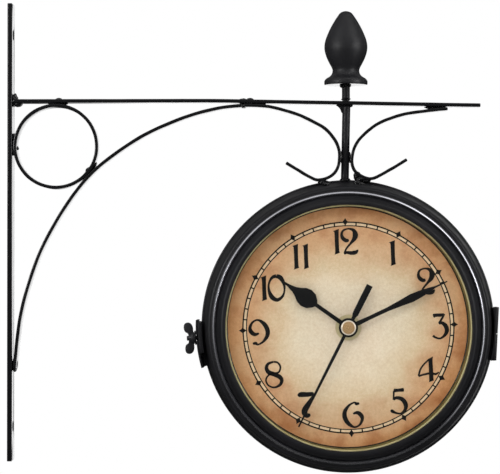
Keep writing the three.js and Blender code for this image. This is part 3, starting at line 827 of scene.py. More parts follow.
# %% [markdown]
# ## The ring, the brace and the scrolls
#
# The same bar, a little thinner, is rolled to a ring and bent to the long brace and the two scrolls
# that cradle the post. A smith bends these round a former, so the curve is fair but never perfect.

# %% Bent strips
RING_THICKNESS = 2.1
ring_line = circle(RING_RADIUS - RING_THICKNESS / 2, 180, RING_X, RING_Z)
ring_surface = swept_bar(ring_line, RING_THICKNESS, unevenness=0.03, closed=True)
ring_strip = mesh_piece("ring_strip", ring_surface, BAR_ENAMEL)
stand_for(ring_strip, "scroll_ring")

BRACE_PATH = [
    (4.5, -88), (7.9, -57.3), (14.3, -31.7), (24.6, -6.1), (42.2, 22.7), (59.1, 41.4), (84.7, 59.3),
    (110.3, 71.1), (132.7, 77.7), (150, 79.8),
]
LEFT_SCROLL_PATH = [
    (151.4, 79.85), (164.7, 79.3), (176, 77), (187.1, 73.4), (196.7, 68.7), (203.8, 64.3), (209.3, 57.9),
    (212, 51.4), (212.2, 44.4), (210.5, 38.6), (206.1, 34.2), (199, 32.1), (193.8, 33.8), (186.8, 37.8),
    (178.6, 42.9),
]
RIGHT_SCROLL_PATH = [
    (280.8, 77.4), (271, 76.5), (257.5, 74.7), (247.9, 72.4), (238.3, 68.7), (231.5, 64.3), (225, 57.9),
    (221.4, 51.4), (220.3, 43.4), (222.5, 37.4), (228.3, 33.6), (234.4, 33.3), (244.9, 38.9), (254.9, 44.9),
]
for name, node, path, thickness in (
    ("brace_strip", "brace_arc", BRACE_PATH, 2.1),
    ("left_scroll_strip", "left_scroll", LEFT_SCROLL_PATH, 2),
    ("right_scroll_strip", "right_scroll", RIGHT_SCROLL_PATH, 2),
):
    strip = mesh_piece(name, swept_bar(smooth_line(path, 150), thickness), BAR_ENAMEL)
    stand_for(strip, node)
    print(name, len(strip.data.polygons), "faces")

# %% [markdown]
# ## Post, stub and bud
#
# A round post carries the clock from the arm, and a stub of the same rod stands above it with a cast
# bud pressed on top. The bud is turned from its own profile: a flat flange, a waist, a swelling and
# a small point.

# %% Round rods


def leaning_rod(bottom, top, radius):
    """A rod from (x, z) to (x, z): turned about z, then sheared along x; filed edges at both ends."""
    length = top[1] - bottom[1]
    heights = np.linspace(0.6, length - 0.6, 24)
    sides = np.column_stack([radius * (1 + 0.006 * np.sin(heights * 0.9)), heights])
    foot = [(0, 0), (radius - 0.5, 0), (radius - 0.12, 0.18)]
    head = [(across, length - up) for across, up in foot[::-1]]
    profile = np.concatenate([foot, sides, head])
    points, faces = turned(profile, 48)
    points[:, 0] += bottom[0] + (top[0] - bottom[0]) * points[:, 2] / length
    points[:, 2] += bottom[1]
    return points, faces


ROD_RADIUS = 2.55
POST_FOOT_X, POST_HEAD_X = 215.8, 216.8        # the post leans a millimetre
post_low, post_high = box_mm("hanger_post")
stub_low, stub_high = box_mm("finial_post")
post_surface = leaning_rod((POST_FOOT_X, post_low[2]), (POST_HEAD_X, post_high[2]), ROD_RADIUS)
post_rod = mesh_piece("post_rod", post_surface, ENAMEL)
stand_for(post_rod, "hanger_post")
stub_surface = leaning_rod((BUD_X, stub_low[2]), (BUD_X, stub_high[2]), ROD_RADIUS)
stub_rod = mesh_piece("stub_rod", stub_surface, ENAMEL)
stand_for(stub_rod, "finial_post")
print("post from", post_low.round(1), "to", post_high.round(1))

# %% Bud
FLANGE = filleted(
    [
        (0, 13.6), (2.85, 13.6), (2.85, 0, 0.4), (13.45, 0, 0.5), (13.85, 0.5, 0.4), (13.85, 2.5, 0.5),
        (13.5, 3.0),
    ],
    closed=False,
)
BUD = smooth_line(
    [
        (13.5, 3.05), (12.6, 4.1), (10.4, 5.5), (9.1, 7), (8.55, 9.2), (9.1, 11.2), (10.6, 14),
        (12.3, 17.6), (13.5, 21.5), (13.75, 24.5), (13.4, 27.5), (12.2, 31.3), (10, 36.2), (7.5, 40.7),
        (5.2, 44.2), (3.6, 46.2), (1.8, 47.1), (0, 47.4),
    ],
    110,
)
bud_points, bud_faces = turned(np.concatenate([FLANGE, BUD]), 128)
bud_points += (BUD_X, 0, BUD_BOTTOM)
finial_bud = mesh_piece("finial_bud", (bud_points, bud_faces), SATIN_PAINT, crisp_angle=50)
finial_bud.data.materials.append(BAR_ENAMEL)
UNDERSIDE_TOP = BUD_BOTTOM + 1
for face in finial_bud.data.polygons:
    if face.normal.z < -0.9 and face.center.z < UNDERSIDE_TOP * MM:
        face.material_index = 1        # the flat underside, where the spray ran and dried glossy
stand_for(finial_bud, "finial")
print("bud", len(finial_bud.data.polygons), "faces")

# %% [markdown]
# ## Welds
#
# The bars are joined with short fillet welds, ground a little and painted over. A weld is a heap of
# small overlapping ripples, so each one here is a lump whose surface is pushed in and out by a few
# waves of random phase, drawn from a fixed seed.

# %% Weld lumps
LUMP_WAVES = (2, 3, 5, 7)        # how many times a lump rises and falls going round it


def weld_lump(x, z, half_x, half_z, half_y, lean_degrees, seed, y=0.0):
    """An ellipsoid (x cos u, y sin u cos v, z sin u sin v) whose radius rises and falls in waves."""
    random = np.random.default_rng(seed)
    rows, columns = 34, 44
    u = np.linspace(0, np.pi, rows)[:, None]
    v = even_turn(columns)[None]
    swell = np.ones((rows, columns))
    for waves in LUMP_WAVES:
        swell += 0.16 / waves * np.sin(waves * v + random.uniform(0, 6.3)) * np.sin(u) ** 2
        swell += 0.2 / waves * np.sin(2 * waves * u + random.uniform(0, 6.3)) * np.sin(u)
    along = swell * np.cos(u) * half_y
    side = swell * np.sin(u) * np.cos(v) * half_x
    up = swell * np.sin(u) * np.sin(v) * half_z
    lean = np.radians(lean_degrees)
    points = [
        x + side * np.cos(lean) - up * np.sin(lean),
        y + along,
        z + side * np.sin(lean) + up * np.cos(lean),
    ]
    return np.stack(points, axis=-1).reshape(-1, 3), grid_quads(rows, columns)


print("waves round a lump:", LUMP_WAVES)

# %% Where the welds lie
WELDS = [
    # x, z, half length along the joint, half thickness, half depth, lean, y
    (3.6, 83.4, 2.6, 3.3, 5.6, 0, 0),
    (6.3, 81.5, 2.8, 2.2, 5.0, -10, 0),
    (4.0, 86.0, 1.2, 1.8, 4.0, 0, 0),
    (8.0, 83.0, 1.8, 1.2, 4.0, 0, 0),
    (32.1, 83.1, 2.6, 1.9, 4.2, 0, 0),
    (29.0, 81.7, 3.4, 1.3, 4.8, 0, 0),
    (35.4, 81.7, 3.1, 1.3, 4.8, 0, 0),
    (3.6, 57.8, 1.9, 4.2, 5.0, 0, 0),
    (4.7, 53.0, 1.8, 1.6, 4.0, 0, 0),
    (3.4, 50.6, 1.4, 2.6, 4.6, 0, 0),
    (50.1, 35.5, 3.5, 1.6, 4.8, 50, 0),
    (54.3, 40.7, 3.7, 1.6, 4.8, 53, 0),
    (52.0, 38.3, 2.6, 2.1, 4.4, 50, 0),
    (4.4, -85.5, 1.6, 5.5, 5.0, 0, 0),
    (150.9, 82.5, 2.9, 2.3, 4.6, 0, 0),
    (155.3, 82.5, 2.8, 2.2, 4.4, 0, 0),
    (160.8, 81.2, 4.4, 1.4, 4.8, 0, 0),
    (150.8, 80.0, 2.6, 1.5, 5.4, 0, 0),
    (216.6, 80.1, 3.1, 0.7, 3.2, 0, 0),
    (219.4, 79.7, 1.4, 0.9, 3.6, 0, 0),
    (273.5, 78.3, 6.2, 1.3, 4.6, 0, 0),
    (213.5, 46.8, 0.8, 4.4, 4.2, 0, 0),
    (218.9, 46.6, 0.8, 3.4, 4.2, 0, 0),
    (215.4, 92.2, 2.7, 1.2, 3.2, 0, 0),
    (218.0, 92.4, 1.8, 0.9, 2.8, 0, 0),
    (216.5, 84.1, 3.0, 0.8, 3.4, 0, 0),
    (215.8, 31.9, 3.7, 1.8, 3.6, 0, 0),
    (203.0, 30.2, 3.9, 1.7, 5.0, -8, -3),
    (203.8, 28.9, 2.6, 1.0, 4.0, -8, -12),
    (223.4, 35.0, 2.1, 2.6, 4.2, -30, -1),
    (225.8, 32.6, 2.9, 2.0, 4.4, 20, -2),
    (229.0, 31.5, 3.0, 1.2, 4.0, 4, -2),
    (223.2, 30.4, 2.0, 1.4, 3.0, 0, -9),
    (225.8, 28.9, 2.2, 1.2, 2.6, 0, -15),
]
lumps = [
    weld_lump(x, z, half_x, half_z, half_y, lean, seed, y)
    for seed, (x, z, half_x, half_z, half_y, lean, y) in enumerate(WELDS, 40)
]
weld_beads = mesh_piece("weld_beads", joined(lumps), BAR_ENAMEL, crisp_angle=80)
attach(weld_beads, "bracket")
print(len(WELDS), "welds,", len(weld_beads.data.polygons), "faces")

# %% [markdown]
# A small gusset stiffens the corner between arm and post. It is cut from 3.2 mm plate, so it is the
# same outline filled and bevelled as every other flat part.

# %% Gusset
GUSSET_HALF_THICKNESS = 1.6
gusset_outline = filleted(
    [
        (209.8, 81.2, 0.3), (209.8, 80.4, 0.3), (212.6, 78.2, 1.5), (213.8, 75.0, 0.4), (215.6, 75.0, 0.3),
        (215.6, 81.2, 0.3),
    ]
)
gusset_points, gusset_faces = cut_plate(
    [gusset_outline], -GUSSET_HALF_THICKNESS, GUSSET_HALF_THICKNESS, rounding=0.25
)
corner_gusset = mesh_piece("corner_gusset", (gusset_points[:, [0, 2, 1]], gusset_faces), BAR_ENAMEL)
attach(corner_gusset, "bracket")
print("gusset", len(corner_gusset.data.polygons), "faces")

# %% [markdown]
# ## The two case halves
#
# Each half is a shallow steel dish, pressed in one blow: a rolled rim at the seam, a wall that draws
# in slightly and a round shoulder. A ledge inside carries the dial and the movement. The bezel snaps
# over the mouth. A turned bead lies round it, whose enamel is rubbed so thin that it shines, and a
# lip slopes in to the glass. The hinge side is relieved where the barrel sits.

# %% Case profiles
SHELL = filleted(
    [
        (90.8, 0.3, 0.1), (93.4, 0.3, 0.5), (93.4, 1.9, 0.45), (92.15, 2.5, 0.9), (90.9, 12, 5),
        (89.0, 26.5, 2.5), (88.2, 30.6, 2.3), (83.4, 30.6, 0.1), (83.4, 29.3, 0.1), (86.8, 29.3, 1.2),
        (88.1, 20.7, 0.2), (74, 20.7, 0.2), (74, 19.3, 0.2), (88.2, 19.3, 0.4), (89.6, 12, 3),
    ],
    steps=9,
)
BEAD = filleted(
    [
        (83.1, 32.4, 0.1), (83.25, 33.8, 0.4), (84.1, 34.25, 0.1), (85.05, 33.63, 0.15), (85.4, 32.9, 0.3),
        (85.3, 32.2, 0.1),
    ],
    steps=6,
)
BEZEL = filleted(
    [
        (81, 30.9, 0.1), (86.1, 30.9, 0.2), (86.1, 32.4, 0.3), (83, 32.9, 0.3), (81.2, 38.2, 1.2),
        (79.2, 41.2, 2.0), (76.6, 41.2, 0.9), (76.6, 38.3, 0.15), (79.8, 38.3, 0.1),
    ],
    steps=9,
)
OLIVE_RING = filleted(
    [
        (74.6, 22.2, 0.1), (78.6, 22.2, 0.1), (78.6, 35.7, 0.1), (76.0, 35.7, 0.25), (75.85, 35.2, 0.2),
        (75.35, 23.1, 0.15), (74.6, 22.7, 0.1),
    ],
    steps=7,
)
PANE = filleted([(0, 36), (79.5, 36, 0.3), (79.5, 38, 0.3), (0, 38)], steps=5, closed=False)
CARD_DISC = filleted([(4.2, 21, 0.05), (79.3, 21, 0.1), (79.3, 22, 0.1), (4.2, 22, 0.05)], steps=4)
print("case profiles:", len(SHELL), "shell points,", len(BEZEL), "bezel points")

# %% Fitting the turned rings
HINGE_ANGLE = np.radians(-2.85)
HINGE_HALF_LENGTH = 17.6
RELIEF_RADIUS = 91.7
RELIEF_TOP = 2.4         # only the rim lies nearer the seam than this
FOOT_TOP = 24            # the olive ring's foot is nearer the seam than this,
FOOT_RADIUS = 76.5       # and nearer the middle than this
FOOT_SHIFT = (-0.65, 0.2)


def relieved(surface):
    """Pulls the rim in to a flat where the hinge barrel sits: u is at most 91.7 where |v| < 17.6.

    u runs from the clock's middle towards the hinge and v along its pin. The turned rim has extra
    columns at the two ends of the flat, so that its steps are square.
    """
    points, faces = surface
    u = points[:, 0] * np.cos(HINGE_ANGLE) + points[:, 1] * np.sin(HINGE_ANGLE)
    v = points[:, 1] * np.cos(HINGE_ANGLE) - points[:, 0] * np.sin(HINGE_ANGLE)
    at_barrel = (np.abs(v) < HINGE_HALF_LENGTH) & (points[:, 2] < RELIEF_TOP)
    excess = np.where(at_barrel, np.maximum(u - RELIEF_RADIUS, 0), 0)
    points[:, 0] -= excess * np.cos(HINGE_ANGLE)
    points[:, 1] -= excess * np.sin(HINGE_ANGLE)
    return points, faces


def off_centre_foot(surface):
    """Moves the foot of the ring, whose points lie near the card, 0.65 mm to the left and 0.2 mm up.

    A pressed ring is never quite true, and here it shows more of its wall at the right and below.
    """
    points, faces = surface
    is_foot = (points[:, 2] < FOOT_TOP) & (np.hypot(points[:, 0], points[:, 1]) < FOOT_RADIUS)
    points[is_foot, :2] += FOOT_SHIFT
    return points, faces


print("the rim's flat is", 2 * HINGE_HALF_LENGTH, "mm long")

# %% Case halves
RELIEF_END_RADIUS = 92.5        # how far out the ends of the flat lie
CARD_BACK = 21.4                # the card's faces nearer the seam than this are its back
flat_end = np.arcsin(HINGE_HALF_LENGTH / RELIEF_END_RADIUS)
step_columns = [HINGE_ANGLE + sign * flat_end * share for sign in (-1, 1) for share in (0.996, 1.004)]
for side in ("front", "rear"):
    mirror = 1 if side == "front" else -1
    extra_columns = [turn if side == "front" else np.pi - turn for turn in step_columns]
    columns = np.sort(np.concatenate([even_turn(256), np.mod(extra_columns, 2 * np.pi)]))
    shell_points, shell_faces = turned(SHELL, columns)
    shell_points[:, 0] *= mirror
    shell_points, shell_faces = relieved((shell_points, shell_faces))
    shell_points[:, 0] *= mirror
    for name, surface, node, finish, slot in (
        ("pressed_shell", (shell_points, shell_faces), "shell", ENAMEL, "black_enamel"),
        ("turned_bezel", turned(BEZEL, 256), "bezel", ENAMEL, "black_enamel"),
        ("glass_pane", turned(PANE, 192), "lens", GLASS, "glass"),
        ("olive_ring", off_centre_foot(turned(OLIVE_RING, 256)), "dial_ring", OLIVE, "olive_gold"),
        ("dial_card", turned(CARD_DISC, 192), "dial", CARD, "dial_paper"),
    ):
        piece = mesh_piece(f"{side}_{name}", in_half(surface, side), finish)
        stand_for(piece, f"{side}_{node}")
        print(piece.name, len(piece.data.polygons), "faces")
    card = bpy.data.objects[f"{side}_dial_card"]
    card.data.materials.append(GREY_BOARD)
    for face in card.data.polygons:
        if abs(face.center.y) < CARD_BACK * MM:
            face.material_index = 1        # the card's plain back, seen when the case is open
    bead = mesh_piece(f"{side}_rubbed_bead", in_half(turned(BEAD, 256), side), RUBBED_BEAD)
    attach(bead, BODY_OF[f"{side}_bezel"])
    print(bead.name, len(bead.data.polygons), "faces")

# %% [markdown]
# ## Seam collar and latch foot
#
# A thin collar inside the front half centres the rear one, as a tin centres its lid, and keeps light
# from showing through the seam. It is a turned ring again, that reaches 1.6 mm into the rear half.
# The latch's strap is fixed to the rear half by a small welded foot, a block cut to the case's curve.

# %% Collar and foot
COLLAR = filleted(
    [
        (89.3, -1.6, 0.2), (90.2, -1.6, 0.3), (90.25, 0.3, 0.1), (90.75, 0.5, 0.1), (90.6, 3, 0.1),
        (89.3, 3, 0.2),
    ],
    steps=4,
)
STRAP_FOOT_RADII = (91.8, 95.9)
STRAP_FOOT_SPAN = (191.0, 195.8)        # degrees round the case
STRAP_FOOT_LEVELS = (1.8, 8)            # behind the seam
seam_collar = mesh_piece("seam_collar", in_half(turned(COLLAR, 192), "front"), ENAMEL)
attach(seam_collar, BODY_OF["front_shell"])
foot_turn = np.radians(np.linspace(*STRAP_FOOT_SPAN, 8))
foot_outline = np.concatenate(
    [
        np.column_stack([radius * np.cos(turn), radius * np.sin(turn)]) + (CLOCK_X, CLOCK_Z)
        for radius, turn in zip(STRAP_FOOT_RADII, (foot_turn, foot_turn[::-1]))
    ]
)
foot_points, foot_faces = cut_plate([foot_outline], *STRAP_FOOT_LEVELS, rounding=0.3)
latch_foot = mesh_piece("latch_foot", (foot_points[:, [0, 2, 1]], foot_faces), ENAMEL)
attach(latch_foot, BODY_OF["latch_strap"])
print("collar", len(seam_collar.data.polygons), "faces; foot", len(latch_foot.data.polygons), "faces")

# %% [markdown]
# ## Dial printing
#
# The numerals are bold and drawn with a broad pen, thick on the down strokes and thin across. Each
# one is written here as that pen went: points along the stroke with the pen's width at each. The
# minute track is two rings with a mark each minute, and a small four-pointed star each five.
# The printing lies a few hundredths of a millimetre proud of the card, as thick screen ink does.

# %% Pen strokes
INK_LEVEL = 22.03
INK_THICKNESS = 0.02
INK_STEP = 0.006         # strokes that cross lie this far apart, so that no two faces coincide
INK_SPREAD = 0.4         # the ink runs this much wider than the pen
PRINT_TURN = -1.7        # the card sits a little turned, anticlockwise as its reader sees it

# Each digit: pen strokes as (x, y, width), in millimetres about the digit's middle.
STROKES = {
    "2": [
        [(-0.2, 0.9, 1.3), (-2, 0.6, 2), (-4, 2.2, 2), (-4.6, 4.6, 1.3), (-3.5, 6.9, 0.9),
         (-0.3, 7.9, 0.7), (2.8, 6.8, 1.8), (3.9, 4.1, 3), (3.2, 1.6, 2.4), (0.9, -1.2, 1.1),
         (-1.8, -4.3, 0.8), (-3.3, -7.4, 0.8)],
        [(-3.4, -7.9, 0.6), (-1.8, -6.9, 1.4), (1.3, -7.3, 2), (3.8, -6.9, 2), (5.4, -5.4, 0.3)],
    ],
    "3": [
        [(-4.1, 6.4, 2.3), (-2.3, 6.9, 1.7), (0.6, 6.9, 1.7), (2.9, 7.2, 1.2)],
        [(3.1, 7.5, 0.6), (1.1, 4.2, 1), (-0.6, 1.6, 1)],
        [(-0.6, 1.5, 0.8), (1.3, 2, 1.6), (3.4, 0.3, 2.3), (4.3, -2.5, 2.3), (3, -5.5, 1.5),
         (0, -7.6, 0.8), (-3, -6.9, 0.9), (-4.5, -5.7, 1.3)],
    ],
    "4": [
        [(0.2, 6, 0.6), (-2.9, 3.1, 0.7), (-5.1, 0, 0.8), (-6.3, -4.1, 0.8)],
        [(-6.4, -4.1, 0.7), (-2.9, -3.1, 0.9), (1.4, -2.4, 1), (4.3, -3, 1), (6.5, -1.9, 0.5)],
    ],
    "5": [
        [(-2.9, 6.9, 2.1), (-0.2, 6.95, 1.6), (3.6, 7.2, 2.1)],
        [(-2.75, 6.8, 0.8), (-3, 3, 0.7), (-3.1, 1.1, 0.9)],
        [(-3.2, 1.1, 1), (-1.2, 2.3, 1.6), (2.2, 1.3, 2.2), (4.3, -1.8, 2.4), (3.9, -5.2, 1.7),
         (1.2, -7.5, 0.8), (-1.9, -7.1, 1), (-4.3, -5.9, 1.7), (-5.3, -5.6, 0.6)],
    ],
    "6": [
        [(4.2, 7, 0.8), (2.3, 6.8, 1.6), (0.9, 7.6, 0.7), (-2.3, 5.9, 1.1), (-4.9, 2.4, 2.1),
         (-5.2, -1.3, 2.5), (-3.2, -5.2, 2.2), (0.5, -7.7, 0.9), (3.9, -6.4, 1), (5.6, -3.1, 1.6),
         (5.1, -0.6, 2.3), (2.8, 1.2, 1.9), (0, 0.55, 0.6)],
    ],
    "7": [
        [(-5.2, 5.2, 1.7), (-3.9, 6.5, 2.8), (0.2, 6.5, 2.5), (4.3, 6.8, 2)],
        [(5.5, 7.7, 0.6), (3.7, 5, 1.4), (0.2, 0.5, 2), (-1.9, -2.7, 2.6), (-1.9, -5, 3.1),
         (-0.3, -6.6, 2.7), (1.7, -5.9, 1.2)],
    ],
    "8": [
        [(-0.2, 8, 0.8), (-3.5, 6.7, 1.4), (-4.6, 4.1, 1.9), (-3.2, 1.5, 2.4), (0, 0.2, 2.4),
         (3.2, -1.4, 2.4), (4.7, -3.6, 2), (3.5, -6.5, 1.4), (0, -8, 0.8), (-3.5, -6.8, 0.7),
         (-5.1, -3.9, 0.7), (-4.3, -1.3, 0.7), (-1.6, 0.7, 0.7), (2.6, 1.2, 0.8), (4, 3.5, 0.8),
         (3.8, 5.7, 0.8), (2.2, 7.5, 0.8), (-0.2, 8, 0.8)],
    ],
    "0": [
        [(0, 7.4, 2), (2.6, 6.3, 2.5), (4.6, 2.6, 1.6), (4.9, -1.4, 0.8), (3.8, -5, 1.1),
         (1.2, -7.2, 1.7), (-0.8, -7.3, 2.1), (-3.2, -5.4, 2.5), (-4.7, -1.8, 1.5), (-4.9, 1.9, 0.9),
         (-3.8, 5, 1.1), (-2, 6.9, 1.6), (0, 7.4, 2)],
    ],
}
print(sum(len(strokes) for strokes in STROKES.values()), "pen strokes")

# %% Stems and places
# Upright stems, given by their left and right edges instead.
STEMS = {
    "1": (
        [(-1.5, -8.1), (-1.0, -6.6), (-1.0, -1), (-1.1, 5), (-1.3, 6.2), (-2.0, 6.7)],
        [(1.65, -6.9), (1.25, -5.5), (1.1, 0), (1.2, 5.5), (1.25, 6.8), (1.35, 8.05)],
    ),
    "4": (
        [(-0.25, 6.3), (0.25, 4.8), (0.4, 0), (0.4, -6.7), (0.25, -8)],
        [(2.8, 8), (2.5, 5.3), (2.65, 0), (2.8, -6.3), (2.9, -7)],
    ),
}
# Each numeral's middle on the card, and its digits with their places across.
NUMERALS = [
    (-0.4, 53.7, (("1", -5.2), ("2", 2.6))),
    (29.1, 45.6, (("1", 0),)),
    (49.2, 27.5, (("2", 0),)),
    (57.0, -0.8, (("3", 0),)),
    (49.1, -27.5, (("4", 0),)),
    (29.9, -46.9, (("5", 0),)),
    (1.3, -54.4, (("6", 0),)),
    (-27.0, -47.5, (("7", 0),)),
    (-47.2, -28.0, (("8", 0),)),
    (-55.7, -1.4, (("9", 0),)),
    (-46.1, 26.0, (("1", -5.7), ("0", 2.1))),
    (-28.2, 45.1, (("1", -3.1), ("1", 3.1))),
]


print(len(NUMERALS), "numerals")

# %% Ink bands


def ribbon(left, right, level):
    """A flat band between two edge lines, 0.02 mm thick, closed at its two ends."""
    rows = len(left)
    low, high = np.full(rows, level), np.full(rows, level + INK_THICKNESS)
    corners = [(left, low), (right, low), (right, high), (left, high)]
    points = np.stack([np.column_stack([edge, height]) for edge, height in corners], axis=1).reshape(-1, 3)
    last = 4 * (rows - 1)
    ends = [[3, 2, 1, 0], [last, last + 1, last + 2, last + 3]]
    return points, grid_quads(rows, 4) + ends


def pen_edges(stroke):
    """The two edges of a pen stroke: its line, moved half the pen's width to each side.

    The pen rounds each end over its own width, so the band narrows there like a quarter circle.
    """
    samples = smooth_line(stroke, 14 * len(stroke))
    line, width = samples[:, :2], np.maximum(samples[:, 2], 0.25) + INK_SPREAD
    along = np.gradient(line, axis=0)
    along /= np.linalg.norm(along, axis=1)[:, None]
    across = np.column_stack([-along[:, 1], along[:, 0]])
    run = np.concatenate([[0], np.cumsum(np.linalg.norm(np.diff(line, axis=0), axis=1))])
    is_loop = np.allclose(stroke[0], stroke[-1])
    reach = np.minimum(run, run[-1] - run) / (0.22 * width)
    blunt = np.ones_like(run) if is_loop else np.sqrt(1 - np.clip(1 - reach, 0, 0.93) ** 2)
    half = across * (width / 2 * blunt)[:, None]
    return line + half, line - half


def digit_bands(digit):
    """A digit's (left, right) edge pairs; a nine is a six turned half way round."""
    sign = -1 if digit == "9" else 1
    bands = [pen_edges(stroke) for stroke in STROKES.get("6" if digit == "9" else digit, [])]
    if digit in STEMS:
        left, right = (smooth_line(edge, 40) for edge in STEMS[digit])
        bands.append((left - (INK_SPREAD / 2, 0), right + (INK_SPREAD / 2, 0)))
    return [(sign * left, sign * right) for left, right in bands]


digit_parts = []
for middle_x, middle_y, digits in NUMERALS:
    for digit, shift in digits:
        for number, (left, right) in enumerate(digit_bands(digit)):
            offset = (middle_x + shift, middle_y)
            digit_parts.append(ribbon(left + offset, right + offset, INK_LEVEL + INK_STEP * number))
print(len(digit_parts), "pen bands for twelve numerals")

# %% Minute track
TRACK_OUTER = (65.3, 66.15)
TRACK_INNER = (63.2, 63.85)
CREAM_OVERLAP = 0.1      # the cream between the two rings runs this far under them


def flat_ring(inner, outer, level, thickness=INK_THICKNESS):
    """A flat printed ring between two radii."""
    top = level + thickness
    return turned([(inner, level), (outer, level), (outer, top), (inner, top)], 240)


def turned_outline(outline, degrees, level):
    """An outline near the top of the dial, turned clockwise about the middle, as a thin prism."""
    turn = np.radians(-degrees)
    x = outline[:, 0] * np.cos(turn) - outline[:, 1] * np.sin(turn)
    y = outline[:, 0] * np.sin(turn) + outline[:, 1] * np.cos(turn)
    count = len(outline)
    rings = [np.column_stack([x, y, np.full(count, height)]) for height in (level, level + INK_THICKNESS)]
    faces = grid_quads(2, count) + [list(range(count))[::-1], list(range(count, 2 * count))]
    return np.concatenate(rings), faces


def printed_star(degrees):
    """A four-pointed star with hollow sides, (a cos^2.4 t, b sin^2.4 t), on the outer ring."""
    t = even_turn(48)
    side = 1.9 * np.sign(np.cos(t)) * np.abs(np.cos(t)) ** 2.4
    out = 65.9 + 2.6 * np.sign(np.sin(t)) * np.abs(np.sin(t)) ** 2.4
    return turned_outline(np.column_stack([side, out]), degrees, INK_LEVEL + INK_THICKNESS)


print("track from", TRACK_INNER[0], "to", TRACK_OUTER[1], "mm")

# %% Printing the dials
minute_mark = np.array([(-0.42, 63.6), (0.42, 63.6), (0.42, 65.6), (-0.42, 65.6)])
track_parts = [flat_ring(*TRACK_OUTER, INK_LEVEL), flat_ring(*TRACK_INNER, INK_LEVEL)]
track_parts += [
    turned_outline(minute_mark, 6 * minute, INK_LEVEL + INK_STEP) for minute in range(60) if minute % 5
]
track_parts += [printed_star(30 * hour) for hour in range(12)]
cream_ring = flat_ring(
    TRACK_INNER[1] - CREAM_OVERLAP, TRACK_OUTER[0] + CREAM_OVERLAP, INK_LEVEL - 0.025, thickness=0.015
)
for side in ("front", "rear"):
    for name, parts, finish in (
        ("numeral_print", digit_parts + track_parts, BLACK_INK),
        ("track_print", [cream_ring], CREAM_INK),
    ):
        print_piece = mesh_piece(f"{side}_{name}", in_half(joined(parts), side, PRINT_TURN), finish)
        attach(print_piece, BODY_OF[f"{side}_dial"])
        print(print_piece.name, len(print_piece.data.polygons), "faces")

# %% [markdown]
# ## The hands
#
# The hands are stamped from 0.5 mm aluminium and sprayed black. Each outline is given as half-widths
# at distances from the axis, mirrored, with a round hub between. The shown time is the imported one.

# %% Hand outlines
HAND_TURN = {"hour": -54.8, "minute": 64.8, "second": 206.7}
HAND_THICKNESS = 0.5
HAND_EDGE_ROUNDING = 0.11
HOUR_EDGE = [
    (1.25, 14), (1.2, 24.6), (2.7, 25.6), (5.2, 28.4), (6, 32.2), (5.2, 35.6), (3.2, 38.6), (1.9, 41.4),
    (1, 45.4), (0.45, 49.6),
]
MINUTE_EDGE = [
    (1.2, 14), (1.25, 27), (1.9, 36), (2.6, 43.5), (2.2, 49.5), (1.3, 56), (0.6, 60), (0.4, 67.9),
]
NEEDLE_EDGE = [(1.0, 20), (0.8, 45), (0.5, 69.2)]
TAIL_EDGE = [(1.2, 7.5), (1.9, 9.5), (2, 20), (2, 29.6)]


def hub_and_blades(hub, ahead, root_ahead, behind=(), root_behind=1.0):
    """One closed outline: up the right edge to the tip, down the left, and round the hub.

    The hub's arcs start where each blade's root, a half-width, meets its circle.
    """
    def arc(start_half_width, end_half_width, centre_degrees):
        start = np.arcsin(start_half_width / hub)
        end = np.pi - np.arcsin(end_half_width / hub) if behind else 2 * np.pi - start
        turn = np.linspace(start, end, 40) + np.radians(centre_degrees)
        return np.column_stack([hub * np.sin(turn), hub * np.cos(turn)])

    right = np.array(ahead, float)
    left = right[::-1] * (-1, 1)
    if not behind:
        return np.concatenate([right[::-1], arc(root_ahead, root_ahead, 0), left[::-1]])
    tail = np.array(behind, float) * (1, -1)
    return np.concatenate(
        [
            right[::-1],
            arc(root_ahead, root_behind, 0),
            tail,
            tail[::-1] * (-1, 1),
            arc(root_behind, root_ahead, 180),
            left[::-1],
        ]
    )


print(len(HAND_TURN), "hands on each side")

# %% Hands and caps
# Each hand: its outline and the hole in its hub, and its level out from the seam.
hand_outlines = {
    "hour": ([hub_and_blades(6, HOUR_EDGE, 1.35), circle(2.7)], 26.5),
    "minute": ([hub_and_blades(6, MINUTE_EDGE, 1.45), circle(1.9)], 28.0),
    "second": ([hub_and_blades(4.6, NEEDLE_EDGE, 1.0, TAIL_EDGE, 1.0), circle(0.55)], 29.7),
}
CAP = filleted(
    [(0, 30.5), (4.6, 30.5, 0.2), (4.7, 31.0, 0.2), (4.2, 31.45, 0.25), (3.6, 31.6, 0.5), (0, 31.93)],
    steps=7,
    closed=False,
)
for side in ("front", "rear"):
    for hand, (outlines, level) in hand_outlines.items():
        surface = cut_plate(outlines, level, level + HAND_THICKNESS, HAND_EDGE_ROUNDING)
        blade = mesh_piece(f"{side}_{hand}_blade", in_half(surface, side, HAND_TURN[hand]), HAND_PAINT)
        stand_for(blade, f"{side}_{hand}_hand")
    cap = mesh_piece(f"{side}_spun_cap", in_half(turned(CAP, 96), side), BRASS, crisp_angle=50)
    stand_for(cap, f"{side}_hand_cap")
    print(side, "hands and cap")

# %% [markdown]
# ## Hinge, latch and movements
#
# The rest are small machined, moulded or folded parts whose packed forms are already right. They
# keep those forms: neighbouring flat facets are merged, the edges are eased by a bevel, and the
# shading is smooth except across a real edge.

